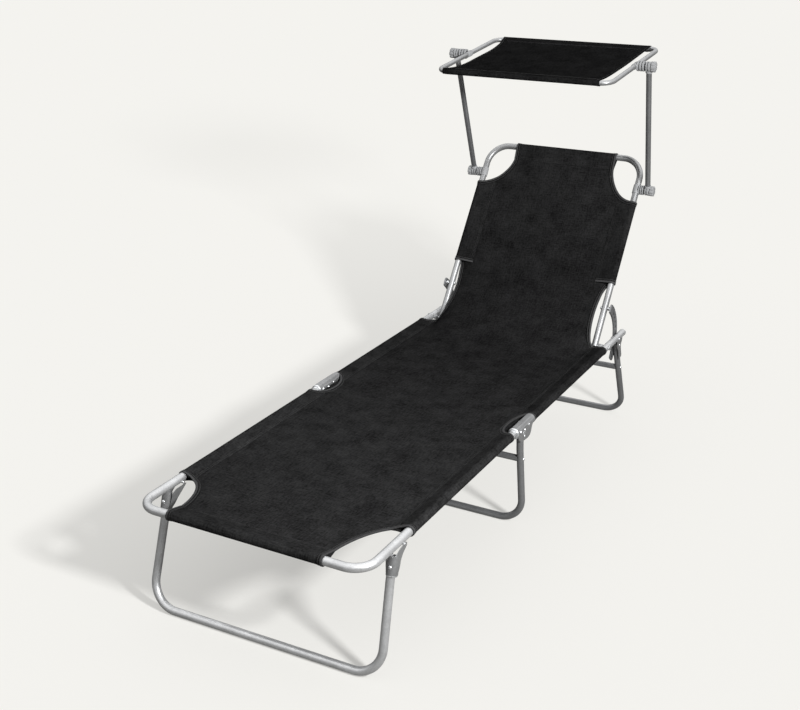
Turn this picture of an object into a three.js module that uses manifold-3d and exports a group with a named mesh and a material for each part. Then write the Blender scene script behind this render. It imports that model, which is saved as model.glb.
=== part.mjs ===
// A folding sun lounger with an adjustable canopy: steel tube frame and stretched cloth.
// Millimetres, +X to the right seen from the foot end, +Y from foot to head, +Z up.
import * as THREE from 'three';
import { mergeVertices } from 'three/addons/utils/BufferGeometryUtils.js';
import Module from 'manifold-3d';

const wasm = await Module();
wasm.setup();

// Bed tubes and the clearances that every piece shares
const tubeR = 9.5;
const tubeWall = 0.8;
const gap = 0.3;
const overrun = 4;
const tubeSides = 12;
const boreSides = 8;
const holeSides = 8;
const headSides = 12;
const hexSides = 6;
const weldShare = 0.001;
const bendSteps = 5;

// Bed frame: places along the bed run from the foot bar's centre
const railX = 272.5;
const railZ = 268;
const footLength = 730;
const seatLength = 735;
const footCorner = 85;
const kneeGap = 0.3;
const capDome = 4;
const capPlug = 14;

// Knee hinge: the pin hangs below the rails, so the foot section folds under the seat
const pinDrop = 19.6;
const pinR = 4;
const pinHeadR = 6.2;
const pinHead = 2.2;
const rivetR = 3;
const rivetHeadR = 5;
const rivetHead = 1.8;
const linerWall = 1.2;
const bracketWall = 1.5;
const linerFront = 51;
const linerRivetBack = 26;
const bracketFront = 45;
const bracketBack = 54;
const bracketBelow = 13;
const bracketRivetRun = 25;
const bracketLowFront = 16;
const bracketLowBack = 28;
const bracketToe = 16;
const eyeTrim = 0.2;

// Legs: floor bar places along the bed, and the legs' spread from the middle
const legCorner = 60;
const kneeBend = 50;
const frontFloorY = 29.3;
const frontAtRailY = 103.1;
const frontPivotY = 135;
const frontSpread = 283;
const channelTop = 14;
const channelLength = 38;
const earR = 9.5;
const channelEarFrom = THREE.MathUtils.degToRad(-45);
const channelEarTo = THREE.MathUtils.degToRad(126);
const linerEarFrom = THREE.MathUtils.degToRad(225);
const linerEarTo = THREE.MathUtils.degToRad(360);
const frontTubeTop = 16;
const middleFloorRun = 19.6;
const middleSpread = 279;
const middleCrossZ = 181;
const rearPinFromEnd = 55;
const rearFloorRun = 89.5;
const rearSpread = 279;
const rearCrossZ = 166;
const crossR = 8;

// Rear leg bracket, measured from its leg pin
const rearPlateFront = 22;
const rearPlateBack = 37;
const rearPlateUp = 26;
const rearPlateStep = 4;
const rearPlateToe = 14;
const rearPlateHeel = 10;
const rearWebTop = 2;
const rearWebLength = 45;
const rearRivetRun = 4;

// Backrest, its pivot bolts and the two struts that hold its angle
const backPivotFromEnd = 137;
const backX = 239;
const backAngle = THREE.MathUtils.degToRad(53.75);
const backLength = 565.4;
const backCorner = 60;
const backTail = 14;
const boltR = 4;
const boltShoulderR = 5.5;
const boltHeadR = 7;
const boltHead = 3;
const strutR = 111;
const strutWidth = 22.4;
const strutThick = 3;
const strutOffset = 4;
const strutPlay = 5;
const strutTop = THREE.MathUtils.degToRad(58.5);
const strutBottom = THREE.MathUtils.degToRad(-38.5);
const slotTop = THREE.MathUtils.degToRad(48.2);
const slotBottom = THREE.MathUtils.degToRad(-33.8);
const strutSteps = 14;
const strutBoltR = 3.5;
const strutHeadR = 6;
const strutHead = 2.2;
const stopAngle = THREE.MathUtils.degToRad(-8);
const stopR = 3;
const stopReach = 2.2;

// Cloth: one sheet, sleeved on the tubes and cut away at the corners and hinges
const clothThick = 1.2;
const sideSeam = 33;
const footSeam = 40;
const backSeam = 47;
const topSeam = 40;
const footSleeveHalf = 182;
const footSleeveStart = 174;
const kneeCutFront = 62;
const kneeCutBack = 60;
const seatClothStop = 18;
const lumbarMiddle = 81;
const backClothStart = 12;
const backSleeveStart = 184;
const backCutDepth = 34;
const topCut = 130.4;
const topSleeveHalf = 150;
const cutSteps = 7;

// Canopy: frame, arms, clamps and knobs
const thinR = 6.5;
const canopyX = 247;
const armLean = 111.68;
const armRise = 361.945;
const canopyTilt = THREE.MathUtils.degToRad(7.37);
const canopyDepth = 396;
const canopyCorner = 33;
const canopySleeveHalf = 213;
const canopyEdgeDip = 22;
const clampFromTop = 91.4;
const armLowX = 272;
const armHighX = 284;
const armStop = 5;
const fittingIn = 9;
const fittingOut = 7.5;
const fittingR = 13.5;
const flangeR = 14;
const flangeThick = 3;
const bossR = 11.8;
const collarWall = 3.2;
const lowCollarLength = 34;
const highCollarLength = 40;
const fittingSides = 16;
const studR = 3;
const studClear = 1.5;
const knobR = 13;
const knobLobe = 1.6;
const knobLobes = 6;
const knobThick = 10;
const knobSteps = 30;

const steel = { color: 0xb7b9bb, roughness: 0.38, metalness: 0.75 };
const zinc = { color: 0xc9cacb, roughness: 0.3, metalness: 0.9 };
const moulding = { color: 0x8d8f90, roughness: 0.5, metalness: 0 };
const plugGrey = { color: 0x9a9c9d, roughness: 0.5, metalness: 0 };
const sling = { color: 0x27272a, roughness: 0.85, metalness: 0 };

const lounger = new THREE.Group();
const bed = new THREE.Group();
lounger.add(bed);

// A curve that passes through its knots and is sampled exactly at them
class KnotPath extends THREE.Curve {
  constructor(knots) {
    super();
    this.knots = knots;
  }

  getUtoTmapping(u) {
    return u;
  }

  getPoint(t, target = new THREE.Vector3()) {
    return target.copy(this.knots[Math.round(t * (this.knots.length - 1))]);
  }

  getTangent(t, target = new THREE.Vector3()) {
    const i = Math.round(t * (this.knots.length - 1));
    const before = this.knots[Math.max(i - 1, 0)];
    const here = this.knots[i];
    const after = this.knots[Math.min(i + 1, this.knots.length - 1)];
    const incoming = here.clone().sub(before).normalize();
    const outgoing = after.clone().sub(here).normalize();
    return target.copy(incoming).add(outgoing).normalize();
  }
}

const at = (x, y, z) => new THREE.Vector3(x, y, z);

// Signed volume of an indexed triangle mesh
function signedVolume(positions, index) {
  let sum = 0;
  const a = new THREE.Vector3();
  const b = new THREE.Vector3();
  const c = new THREE.Vector3();
  for (let i = 0; i < index.length; i += 3) {
    a.fromArray(positions, index[i] * 3);
    b.fromArray(positions, index[i + 1] * 3);
    c.fromArray(positions, index[i + 2] * 3);
    sum += a.dot(b.cross(c));
  }
  return sum / 6;
}

// A closed three.js geometry as a solid for joining and cutting
function solid(geometry) {
  const bare = geometry.index ? geometry.toNonIndexed() : geometry.clone();
  bare.deleteAttribute('normal');
  bare.deleteAttribute('uv');
  const merged = mergeVertices(bare, gap * weldShare);
  const positions = merged.attributes.position.array;
  const index = Uint32Array.from(merged.index.array);
  if (signedVolume(positions, index) < 0) {
    for (let i = 0; i < index.length; i += 3) {
      [index[i], index[i + 1]] = [index[i + 1], index[i]];
    }
  }
  return new wasm.Manifold(new wasm.Mesh({
    numProp: 3,
    vertProperties: new Float32Array(positions),
    triVerts: index,
  }));
}

// The geometry of a finished solid, mirrored across the middle when asked
function geometryOf(body, mirrored = false) {
  const mesh = body.getMesh();
  const positions = new Float32Array(mesh.vertProperties);
  const index = Array.from(mesh.triVerts);
  if (mirrored) {
    for (let i = 0; i < positions.length; i += 3) positions[i] = -positions[i];
    for (let i = 0; i < index.length; i += 3) {
      [index[i], index[i + 1]] = [index[i + 1], index[i]];
    }
  }
  const geometry = new THREE.BufferGeometry();
  geometry.setAttribute('position', new THREE.BufferAttribute(positions, 3));
  geometry.setIndex(index);
  geometry.computeVertexNormals();
  return geometry;
}

function add(name, body, finish, mirrored = false) {
  const mesh = new THREE.Mesh(geometryOf(body, mirrored), new THREE.MeshStandardMaterial(finish));
  mesh.name = name;
  bed.add(mesh);
}

// The right piece as made, and the left one as its mirror image
function addPair(name, body, finish) {
  add(`left_${name}`, body, finish, true);
  add(`right_${name}`, body, finish);
}

// A regular section whose first facet is centred on the roll angle
function section(radius, sides, roll) {
  const turn = (2 * Math.PI) / sides;
  return Array.from({ length: sides }, (_, i) => {
    const angle = roll + (i + 0.5) * turn;
    return new THREE.Vector2(radius * Math.cos(angle), radius * Math.sin(angle));
  });
}

// The roll that makes a facet at one knot face the given way
function rollToward(path, knot, toward) {
  const frames = path.computeFrenetFrames(path.knots.length - 1, false);
  return Math.atan2(toward.dot(frames.binormals[knot]), toward.dot(frames.normals[knot]));
}

// A round bar along knots; the facing option turns one facet of it toward a direction
function bar(knots, radius, { sides = tubeSides, facing = null } = {}) {
  const path = new KnotPath(knots);
  const roll = facing ? rollToward(path, facing.knot, facing.toward) : 0;
  const shape = new THREE.Shape(section(radius, sides, roll));
  return solid(new THREE.ExtrudeGeometry(shape, {
    steps: knots.length - 1,
    extrudePath: path,
    bevelEnabled: false,
  }));
}

// The same knots with both ends drawn out along the bar
function lengthened(knots, by) {
  const out = knots.map((knot) => knot.clone());
  const last = out.length - 1;
  out[0].addScaledVector(knots[0].clone().sub(knots[1]).normalize(), by);
  out[last].addScaledVector(knots[last].clone().sub(knots[last - 1]).normalize(), by);
  return out;
}

// A hole or sleeve radius whose flats clear a round bar of the given radius
const clearing = (radius, sides = tubeSides) => (radius + gap) / Math.cos(Math.PI / sides);

function pipe(knots, outer, inner, innerSides = tubeSides) {
  return bar(knots, outer).subtract(bar(lengthened(knots, overrun), inner, { sides: innerSides }));
}

const hollow = (knots, radius) => pipe(knots, radius, radius - tubeWall, boreSides);

// Knots of a route through corner points, with each inner corner rounded
function rounded(corners, radius, steps = bendSteps) {
  const knots = [corners[0]];
  for (let i = 1; i < corners.length - 1; i += 1) {
    const incoming = corners[i].clone().sub(corners[i - 1]).normalize();
    const outgoing = corners[i + 1].clone().sub(corners[i]).normalize();
    const turn = incoming.angleTo(outgoing);
    const reach = radius * Math.tan(turn / 2);
    const inward = outgoing.clone().sub(incoming).normalize();
    const centre = corners[i].clone().addScaledVector(inward, radius / Math.cos(turn / 2));
    const spoke = corners[i].clone().addScaledVector(incoming, -reach).sub(centre);
    const axis = incoming.clone().cross(outgoing).normalize();
    for (let k = 0; k <= steps; k += 1) {
      knots.push(spoke.clone().applyAxisAngle(axis, (turn * k) / steps).add(centre));
    }
  }
  knots.push(corners[corners.length - 1]);
  return knots;
}

// An outline in the side plane, as points along and up, drawn out across the bed
function plate(outline, x0, x1) {
  const shape = new THREE.Shape(outline.map(([y, z]) => new THREE.Vector2(y, z)));
  const geometry = new THREE.ExtrudeGeometry(shape, { depth: x1 - x0, bevelEnabled: false });
  geometry.applyMatrix4(new THREE.Matrix4().makeBasis(at(0, 1, 0), at(0, 0, 1), at(1, 0, 0)));
  return solid(geometry.translate(x0, 0, 0));
}

// A round pin across the bed
function crossPin(radius, x0, x1, y, z, sides = holeSides) {
  const geometry = new THREE.CylinderGeometry(radius, radius, x1 - x0, sides);
  geometry.rotateZ(Math.PI / 2);
  return solid(geometry.translate((x0 + x1) / 2, y, z));
}

const crossHole = (radius, y, z, x0, x1) => (
  crossPin(clearing(radius, holeSides), x0 - overrun, x1 + overrun, y, z)
);

// A pin with a head on each end, across one rail
function headedPin(radius, headR, head, half, y, z, x = railX) {
  const shank = crossPin(radius, x - half - head / 2, x + half + head / 2, y, z);
  const outerHead = crossPin(headR, x + half, x + half + head, y, z, headSides);
  const innerHead = crossPin(headR, x - half - head, x - half, y, z, headSides);
  return shank.add(outerHead).add(innerHead);
}

// An inverted U section round a rail, drawn along it
function arch(half, below, y0, y1) {
  const shape = new THREE.Shape();
  shape.moveTo(-half, -below);
  shape.lineTo(half, -below);
  shape.lineTo(half, 0);
  shape.absarc(0, 0, half, 0, Math.PI, false);
  shape.lineTo(-half, -below);
  const geometry = new THREE.ExtrudeGeometry(shape, {
    depth: y1 - y0,
    curveSegments: 2 * bendSteps,
    bevelEnabled: false,
  });
  geometry.applyMatrix4(new THREE.Matrix4().makeBasis(at(1, 0, 0), at(0, 0, 1), at(0, -1, 0)));
  return solid(geometry.translate(railX, y1, railZ));
}

// Points of a circle's arc in the side plane
function arcPoints(y, z, radius, from, to, steps = bendSteps) {
  return Array.from({ length: steps + 1 }, (_, i) => {
    const angle = from + ((to - from) * i) / steps;
    return [y + radius * Math.cos(angle), z + radius * Math.sin(angle)];
  });
}

const hingeY = footLength;
const railEnd = footLength + seatLength;
const rearPinY = railEnd - rearPinFromEnd;
const rearFloorY = rearPinY + rearFloorRun;
const backPivotY = railEnd - backPivotFromEnd;
const pinZ = railZ - pinDrop;
const boreR = tubeR - tubeWall;
const floorZ = tubeR * Math.cos(Math.PI / tubeSides);
const down = at(0, 0, -1);
const linerIn = tubeR + gap;
const linerOut = linerIn + linerWall;
const bracketIn = linerOut + gap;
const bracketOut = bracketIn + bracketWall;
const earOut = linerIn + bracketWall;

// Seat rails, with holes for their rivets and bolts
function seatRail() {
  const ends = [at(railX, hingeY + kneeGap, railZ), at(railX, railEnd, railZ)];
  const holes = [
    [rivetR, hingeY + bracketRivetRun],
    [rivetR, rearPinY - rearRivetRun],
    [boltR, backPivotY],
  ];
  return holes.reduce(
    (rail, [radius, y]) => rail.subtract(crossHole(radius, y, railZ, railX - tubeR, railX + tubeR)),
    hollow(ends, tubeR),
  );
}

function railCap() {
  const plugR = boreR * Math.cos(Math.PI / boreSides) - gap;
  const plug = bar([at(railX, railEnd - capPlug, railZ), at(railX, railEnd + capDome, railZ)], plugR);
  const profile = [new THREE.Vector2(0, 0)];
  for (let i = 0; i <= bendSteps; i += 1) {
    const angle = (Math.PI / 2) * (i / bendSteps);
    profile.push(new THREE.Vector2(tubeR * Math.cos(angle), capDome * Math.sin(angle)));
  }
  profile[profile.length - 1].x = 0;
  const dome = new THREE.LatheGeometry(profile, tubeSides);
  return plug.intersect(bar([
    at(railX, railEnd - capPlug - overrun, railZ),
    at(railX, railEnd + gap + capDome / 2, railZ),
  ], tubeR)).add(solid(dome.translate(railX, railEnd + gap, railZ)));
}

// Knee hinge: a bracket on the seat rail, a liner on the foot tube and a shared pin
function hingeBracket() {
  const front = hingeY - bracketFront;
  const back = hingeY + bracketBack;
  const low = pinZ - bracketBelow;
  const top = railZ + bracketOut + overrun;
  const outline = [
    [front, top],
    [front, railZ - tubeR / 2],
    [hingeY - bracketToe - bracketLowFront, pinZ],
    [hingeY - bracketToe, low + tubeWall],
    [hingeY + bracketToe, low],
    [hingeY + bracketBack - bracketToe, low + bracketToe / 2],
    [hingeY + bracketLowBack + bracketToe, pinZ + tubeWall],
    [back, railZ - tubeR / 2],
    [back, top],
  ];
  const shell = arch(bracketOut, railZ - low + overrun, front, back)
    .subtract(arch(bracketIn, railZ - low + 2 * overrun, front - overrun, back + overrun));
  return shell
    .intersect(plate(outline, railX - bracketOut - overrun, railX + bracketOut + overrun))
    .subtract(crossHole(pinR, hingeY, pinZ, railX - bracketOut, railX + bracketOut))
    .subtract(crossHole(
      rivetR, hingeY + bracketRivetRun, railZ, railX - bracketOut, railX + bracketOut,
    ));
}

function hingeLiner() {
  const front = hingeY - linerFront;
  const back = hingeY - kneeGap;
  const top = railZ + linerOut + overrun;
  const outline = [
    [front, top],
    [front, railZ - tubeR / 2],
    ...arcPoints(hingeY, pinZ, earR, linerEarFrom, linerEarTo),
    [back, railZ],
    [back, top],
  ];
  const shell = arch(linerOut, pinDrop + tubeR + overrun, front, hingeY + earR + overrun)
    .subtract(arch(
      linerIn, pinDrop + tubeR + 2 * overrun, front - overrun, hingeY + earR + 2 * overrun,
    ));
  return shell
    .intersect(plate(outline, railX - linerOut - overrun, railX + linerOut + overrun))
    .subtract(crossHole(pinR, hingeY, pinZ, railX - linerOut, railX + linerOut))
    .subtract(crossHole(
      rivetR, hingeY - linerRivetBack, railZ, railX - linerOut, railX + linerOut,
    ));
}

// A U of tube in the bed plane round the foot end
function footTube() {
  const knots = rounded([
    at(-railX, hingeY - kneeGap, railZ),
    at(-railX, 0, railZ),
    at(railX, 0, railZ),
    at(railX, hingeY - kneeGap, railZ),
  ], footCorner);
  return hollow(knots, tubeR)
    .subtract(crossHole(rivetR, hingeY - linerRivetBack, railZ, railX - tubeR, railX + tubeR))
    .subtract(crossHole(rivetR, hingeY - linerRivetBack, railZ, -railX - tubeR, -railX + tubeR))
    .subtract(crossHole(pinR, frontPivotY, railZ, railX - tubeR, railX + tubeR))
    .subtract(crossHole(pinR, frontPivotY, railZ, -railX - tubeR, -railX + tubeR));
}

// Route of a leg: straight from its top to the bend, then out to the floor bar's corners
function legKnots(topY, topZ, floorY, spread) {
  const slope = new THREE.Vector2(floorY - topY, floorZ - topZ).normalize();
  const bendY = topY + kneeBend * slope.x;
  const bendZ = topZ + kneeBend * slope.y;
  const half = rounded([
    at(railX, bendY, bendZ),
    at(spread, floorY, floorZ),
    at(0, floorY, floorZ),
  ], legCorner).slice(0, -1);
  const right = [at(railX, topY, topZ), ...half];
  const left = right.map((knot) => at(-knot.x, knot.y, knot.z));
  return [...left, ...right.reverse()];
}

// Outer bar and bore of a leg, with a flat of the floor bar facing down
function legBars(knots, openEnds) {
  const facing = { knot: knots.length / 2, toward: down };
  const bore = openEnds ? lengthened(knots, overrun) : knots;
  return { outer: bar(knots, tubeR, { facing }), bore: bar(bore, boreR, { sides: boreSides }) };
}

// A leg whose rounded top ends turn on pins below the rails
function pinnedLeg(knots, pinY) {
  const { outer, bore } = legBars(knots, false);
  return [railX, -railX].reduce((leg, x) => leg
    .subtract(crossHole(pinR, pinY, pinZ, x - tubeR, x + tubeR)), [railX, -railX]
    .reduce((leg, x) => leg.add(
      crossPin(tubeR - eyeTrim, x - tubeR + eyeTrim, x + tubeR - eyeTrim, pinY, pinZ, fittingSides),
    ), outer)
    .subtract(bore));
}

// A cross tube between a leg's sides, coped round them
function crossTube(knots, floorY, topY, z) {
  const share = (z - floorZ) / (pinZ - floorZ);
  const y = floorY + (topY - floorY) * share;
  const ends = [at(-railX, y, z), at(railX, y, z)];
  return hollow(ends, crossR).subtract(bar(knots, tubeR + gap));
}

const frontTopZ = railZ - frontTubeTop;
const frontLean = new THREE.Vector2(frontAtRailY - frontFloorY, railZ - floorZ).normalize();
const onFrontLeg = (up, ahead) => [
  frontAtRailY + up * frontLean.x - ahead * frontLean.y,
  railZ + up * frontLean.y + ahead * frontLean.x,
];
const frontTopY = onFrontLeg(-frontTubeTop / frontLean.y, 0)[0];
const frontKnots = legKnots(frontTopY, frontTopZ, frontFloorY, frontSpread);
const middleKnots = legKnots(hingeY, pinZ, hingeY + middleFloorRun, middleSpread);
const rearKnots = legKnots(rearPinY, pinZ, rearFloorY, rearSpread);

function frontLeg() {
  const { outer, bore } = legBars(frontKnots, true);
  return outer.subtract(bore);
}

// The front leg hangs in a channel whose two ears straddle the rail
function frontChannel() {
  const low = -channelTop - channelLength;
  const outline = [
    onFrontLeg(-channelTop, earOut),
    onFrontLeg(low, earOut),
    onFrontLeg(low, -tubeR),
    ...arcPoints(frontPivotY, railZ, earR, channelEarFrom, channelEarTo),
  ];
  const inside = [
    onFrontLeg(railZ, linerIn),
    onFrontLeg(-railZ, linerIn),
    onFrontLeg(-railZ, -railZ),
    onFrontLeg(railZ, -railZ),
  ];
  return plate(outline, railX - earOut, railX + earOut)
    .subtract(plate(inside, railX - linerIn, railX + linerIn))
    .subtract(crossHole(pinR, frontPivotY, railZ, railX - earOut, railX + earOut));
}

// The rear leg's bracket: two cheeks on the rail and a web that stops the leg
const rearLean = new THREE.Vector2(rearFloorY - rearPinY, floorZ - pinZ).normalize();
const onRearLeg = (along, behind) => [
  rearPinY + along * rearLean.x - behind * rearLean.y,
  pinZ + along * rearLean.y + behind * rearLean.x,
];
const stopY = backPivotY + strutR * Math.cos(stopAngle);
const stopZ = railZ + strutR * Math.sin(stopAngle);

function rearBracket() {
  const outline = [
    [rearPinY - rearPlateFront, pinZ + rearPlateUp],
    [rearPinY - rearPlateToe, pinZ - rearPlateHeel],
    onRearLeg(rearWebLength, -tubeR),
    onRearLeg(rearWebLength, earOut),
    [rearPinY + rearPlateBack, pinZ - rearPlateStep],
    [rearPinY + rearPlateBack, pinZ + rearPlateUp],
  ];
  const web = [
    onRearLeg(rearWebTop, linerIn),
    onRearLeg(rearWebTop, earOut),
    onRearLeg(rearWebLength, earOut),
    onRearLeg(rearWebLength, linerIn),
  ];
  return plate(outline, railX - earOut, railX + earOut)
    .subtract(plate([
      [rearPinY - rearPlateFront - overrun, railZ + tubeR + overrun],
      [rearPinY - rearPlateFront - overrun, 0],
      [rearPinY + rearPlateBack + overrun, 0],
      [rearPinY + rearPlateBack + overrun, railZ + tubeR + overrun],
    ], railX - linerIn, railX + linerIn))
    .add(plate(web, railX - linerIn - tubeWall, railX + linerIn + tubeWall))
    .subtract(crossHole(pinR, rearPinY, pinZ, railX - earOut, railX + earOut))
    .subtract(crossHole(rivetR, rearPinY - rearRivetRun, railZ, railX - earOut, railX + earOut))
    .subtract(crossHole(stopR, stopY, stopZ, railX - earOut, railX - linerIn));
}

// The stop pin on the bracket's inner cheek, in the strut's slot
function stopPin() {
  const tip = backX + tubeR + stopReach;
  const seat = railX - linerIn + gap;
  return crossPin(stopR, tip, seat + rivetHead / 2, stopY, stopZ)
    .add(crossPin(rivetHeadR - gap, seat, seat + rivetHead, stopY, stopZ));
}

// A point of the backrest, by its run from the pivot and its height off the tubes' plane
const onBack = (run, off = 0) => [
  backPivotY + run * Math.cos(backAngle) - off * Math.sin(backAngle),
  railZ + run * Math.sin(backAngle) + off * Math.cos(backAngle),
];
const strutBoltRun = strutR;

function backTube() {
  const knots = rounded([
    at(-backX, ...onBack(-backTail)),
    at(-backX, ...onBack(backLength)),
    at(backX, ...onBack(backLength)),
    at(backX, ...onBack(-backTail)),
  ], backCorner);
  return [backX, -backX].reduce((tube, x) => tube
    .subtract(crossHole(boltR, backPivotY, railZ, x - tubeR, x + tubeR))
    .subtract(crossHole(strutBoltR, ...onBack(strutBoltRun), x - tubeR, x + tubeR)),
  hollow(knots, tubeR));
}

// A shoulder bolt through the rail and the backrest tube
function backBolt() {
  const inner = backX - tubeR - gap;
  const outer = railX + tubeR + gap;
  return crossPin(boltR, inner - boltHead / 2, outer + boltHead / 2, backPivotY, railZ)
    .add(crossPin(boltShoulderR, backX + tubeR + gap, railX - tubeR - gap, backPivotY, railZ))
    .add(crossPin(boltHeadR, inner - boltHead, inner, backPivotY, railZ, hexSides))
    .add(crossPin(boltHeadR, outer, outer + boltHead, backPivotY, railZ));
}

// The strut: an arc-shaped bar round the backrest pivot with a slot for the stop pin
const strutIn = backX + tubeR + strutOffset;
const strutOut = strutIn + strutThick;

function arcBar(inner, outer, from, to, x0, x1) {
  const outline = [
    ...arcPoints(backPivotY, railZ, outer, from, to, strutSteps),
    ...arcPoints(backPivotY, railZ, inner, to, from, strutSteps),
  ];
  return plate(outline, x0, x1);
}

function strut() {
  const slotOuter = strutR + stopR + 2 * gap;
  const slotInner = strutR - stopR - strutPlay;
  const outer = slotOuter + (strutWidth - slotOuter + slotInner) / 2;
  return arcBar(outer - strutWidth, outer, strutBottom, strutTop, strutIn, strutOut)
    .subtract(arcBar(
      slotInner, slotOuter, slotBottom, slotTop, strutIn - overrun, strutOut + overrun,
    ))
    .subtract(crossHole(strutBoltR, ...onBack(strutBoltRun), strutIn, strutOut));
}

function strutBolt() {
  const [y, z] = onBack(strutBoltRun);
  const inner = backX - tubeR - gap;
  return crossPin(strutBoltR, inner - strutHead / 2, strutOut + gap + strutHead / 2, y, z)
    .add(crossPin(strutHeadR - gap, backX + tubeR + gap, strutIn - gap, y, z))
    .add(crossPin(strutHeadR, inner - strutHead, inner, y, z))
    .add(crossPin(strutHeadR, strutOut + gap, strutOut + gap + strutHead, y, z));
}

// Cloth: a panel level with the tubes' centres and closed sleeves that hold it to them
const panelHalf = clothThick / 2;

// An outline as points across and along, given thickness and laid flat at a height
function sheet(outline, z0, z1) {
  const shape = new THREE.Shape(outline.map(([x, y]) => new THREE.Vector2(x, y)));
  const geometry = new THREE.ExtrudeGeometry(shape, { depth: z1 - z0, bevelEnabled: false });
  return solid(geometry.translate(0, 0, z0));
}

// The right edge of a panel, and its mirror image, as one closed outline
function symmetric(rightEdge) {
  const leftEdge = rightEdge.map(([x, y]) => [-x, y]).reverse();
  return [...rightEdge, ...leftEdge];
}

// Points on an elliptical cut-out: its centre, half sizes across and along, and angles
function ellipse(x, y, across, along, from, to) {
  return Array.from({ length: cutSteps + 1 }, (_, i) => {
    const angle = from + ((to - from) * i) / cutSteps;
    return [x - across * Math.cos(angle), y + along * Math.sin(angle)];
  });
}

// A right-hand piece and its mirror image in one solid
function twinned(body) {
  return body.add(solid(geometryOf(body, true)));
}

// An outline as points across and up, drawn out along the bed
function lengthwise(outline, y0, y1) {
  const shape = new THREE.Shape(outline.map(([x, z]) => new THREE.Vector2(x, z)));
  const geometry = new THREE.ExtrudeGeometry(shape, { depth: y1 - y0, bevelEnabled: false });
  geometry.applyMatrix4(new THREE.Matrix4().makeBasis(at(1, 0, 0), at(0, 0, 1), at(0, -1, 0)));
  return solid(geometry.translate(0, y1, 0));
}

// A ring round a tube drawn out to a seam: points outward from the tube and up
function drop(radius, reach) {
  const open = Math.PI - Math.acos(radius / reach);
  return [[-reach, 0], ...arcPoints(0, 0, radius, -open, open, 2 * bendSteps)];
}

// The outer and inner outline of a sleeve whose layers meet at its seam
function sleeveOutlines(seam) {
  const inner = clearing(tubeR);
  const outer = inner + clothThick;
  return [drop(outer, seam), drop(inner, (seam * inner) / outer)];
}

// The two sleeves along the side tubes
function sideSleeves(x, z, seam, y0, y1) {
  const [outer, inner] = sleeveOutlines(seam)
    .map((points) => points.map(([out, up]) => [x + out, z + up]));
  return twinned(lengthwise(outer, y0, y1)
    .subtract(lengthwise(inner, y0 - overrun, y1 + overrun)));
}

// A sleeve round an end bar; the way is +1 where its outer side faces the head
function barSleeve(y, z, way, seam, half) {
  const [outer, inner] = sleeveOutlines(seam)
    .map((points) => points.map(([out, up]) => [y + way * out, z + up]));
  return plate(outer, -half, half).subtract(plate(inner, -half - overrun, half + overrun));
}

function footCloth() {
  const seamX = railX - sideSeam + clothThick;
  const cut = ellipse(
    railX, footSeam, railX - footSleeveHalf, footSleeveStart - footSeam, 0, Math.PI / 2,
  );
  const outline = symmetric([
    [footSleeveHalf, footSeam - clothThick],
    ...cut.map(([x, y]) => [Math.min(x, seamX), y]),
    [seamX, hingeY - kneeGap],
  ]);
  return sheet(outline, railZ - panelHalf, railZ + panelHalf)
    .add(sideSleeves(railX, railZ, sideSeam, footSleeveStart, hingeY - kneeCutFront))
    .add(barSleeve(0, railZ, -1, footSeam, footSleeveHalf));
}

function seatCloth() {
  const seamX = railX - sideSeam + clothThick;
  const stop = backPivotY - seatClothStop;
  const outline = symmetric([[seamX, hingeY + kneeGap], [seamX, stop]]);
  return sheet(outline, railZ - panelHalf, railZ + panelHalf)
    .add(sideSleeves(railX, railZ, sideSeam, hingeY + kneeCutBack, stop));
}

// The backrest cloth is laid flat along its run and then leant back with the tubes
function backCloth() {
  const seamX = backX - backSeam + clothThick;
  const lumbarHalf = backSleeveStart - lumbarMiddle;
  const startAngle = -Math.asin((lumbarMiddle - backClothStart) / lumbarHalf);
  const lumbar = ellipse(backX, lumbarMiddle, backCutDepth, lumbarHalf, startAngle, Math.PI / 2);
  const topY = backLength - topSeam;
  const sleeveEnd = backLength - topCut;
  const top = ellipse(backX, topY, backX - topSleeveHalf, topY - sleeveEnd, -Math.PI / 2, 0);
  const outline = symmetric([
    ...lumbar.map(([x, y]) => [Math.min(x, backX - clearing(tubeR)), y]),
    [seamX, backSleeveStart],
    ...top.map(([x, y]) => [Math.min(x, seamX), y]),
    [topSleeveHalf, topY + clothThick],
  ]);
  const flat = sheet(outline, -panelHalf, panelHalf)
    .add(sideSleeves(backX, 0, backSeam, backSleeveStart, sleeveEnd))
    .add(barSleeve(backLength, 0, 1, topSeam, topSleeveHalf));
  const laid = geometryOf(flat);
  laid.rotateX(backAngle);
  return solid(laid.translate(0, backPivotY, railZ));
}

// The clamps' place on the backrest, and the canopy's middle above it
const [clampY, clampZ] = onBack(backLength - clampFromTop);
const canopyY = clampY - armLean;
const canopyZ = clampZ + armRise;

// Canopy frame: two bows of thin tube whose ends meet inside the side clamps
const onCanopy = (run, up = 0) => [
  canopyY + run * Math.cos(canopyTilt) - up * Math.sin(canopyTilt),
  canopyZ + run * Math.sin(canopyTilt) + up * Math.cos(canopyTilt),
];

function bow(way) {
  const knots = rounded([
    at(-canopyX, ...onCanopy(way * kneeGap)),
    at(-canopyX, ...onCanopy((way * canopyDepth) / 2)),
    at(canopyX, ...onCanopy((way * canopyDepth) / 2)),
    at(canopyX, ...onCanopy(way * kneeGap)),
  ], canopyCorner);
  return hollow(knots, thinR);
}

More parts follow.
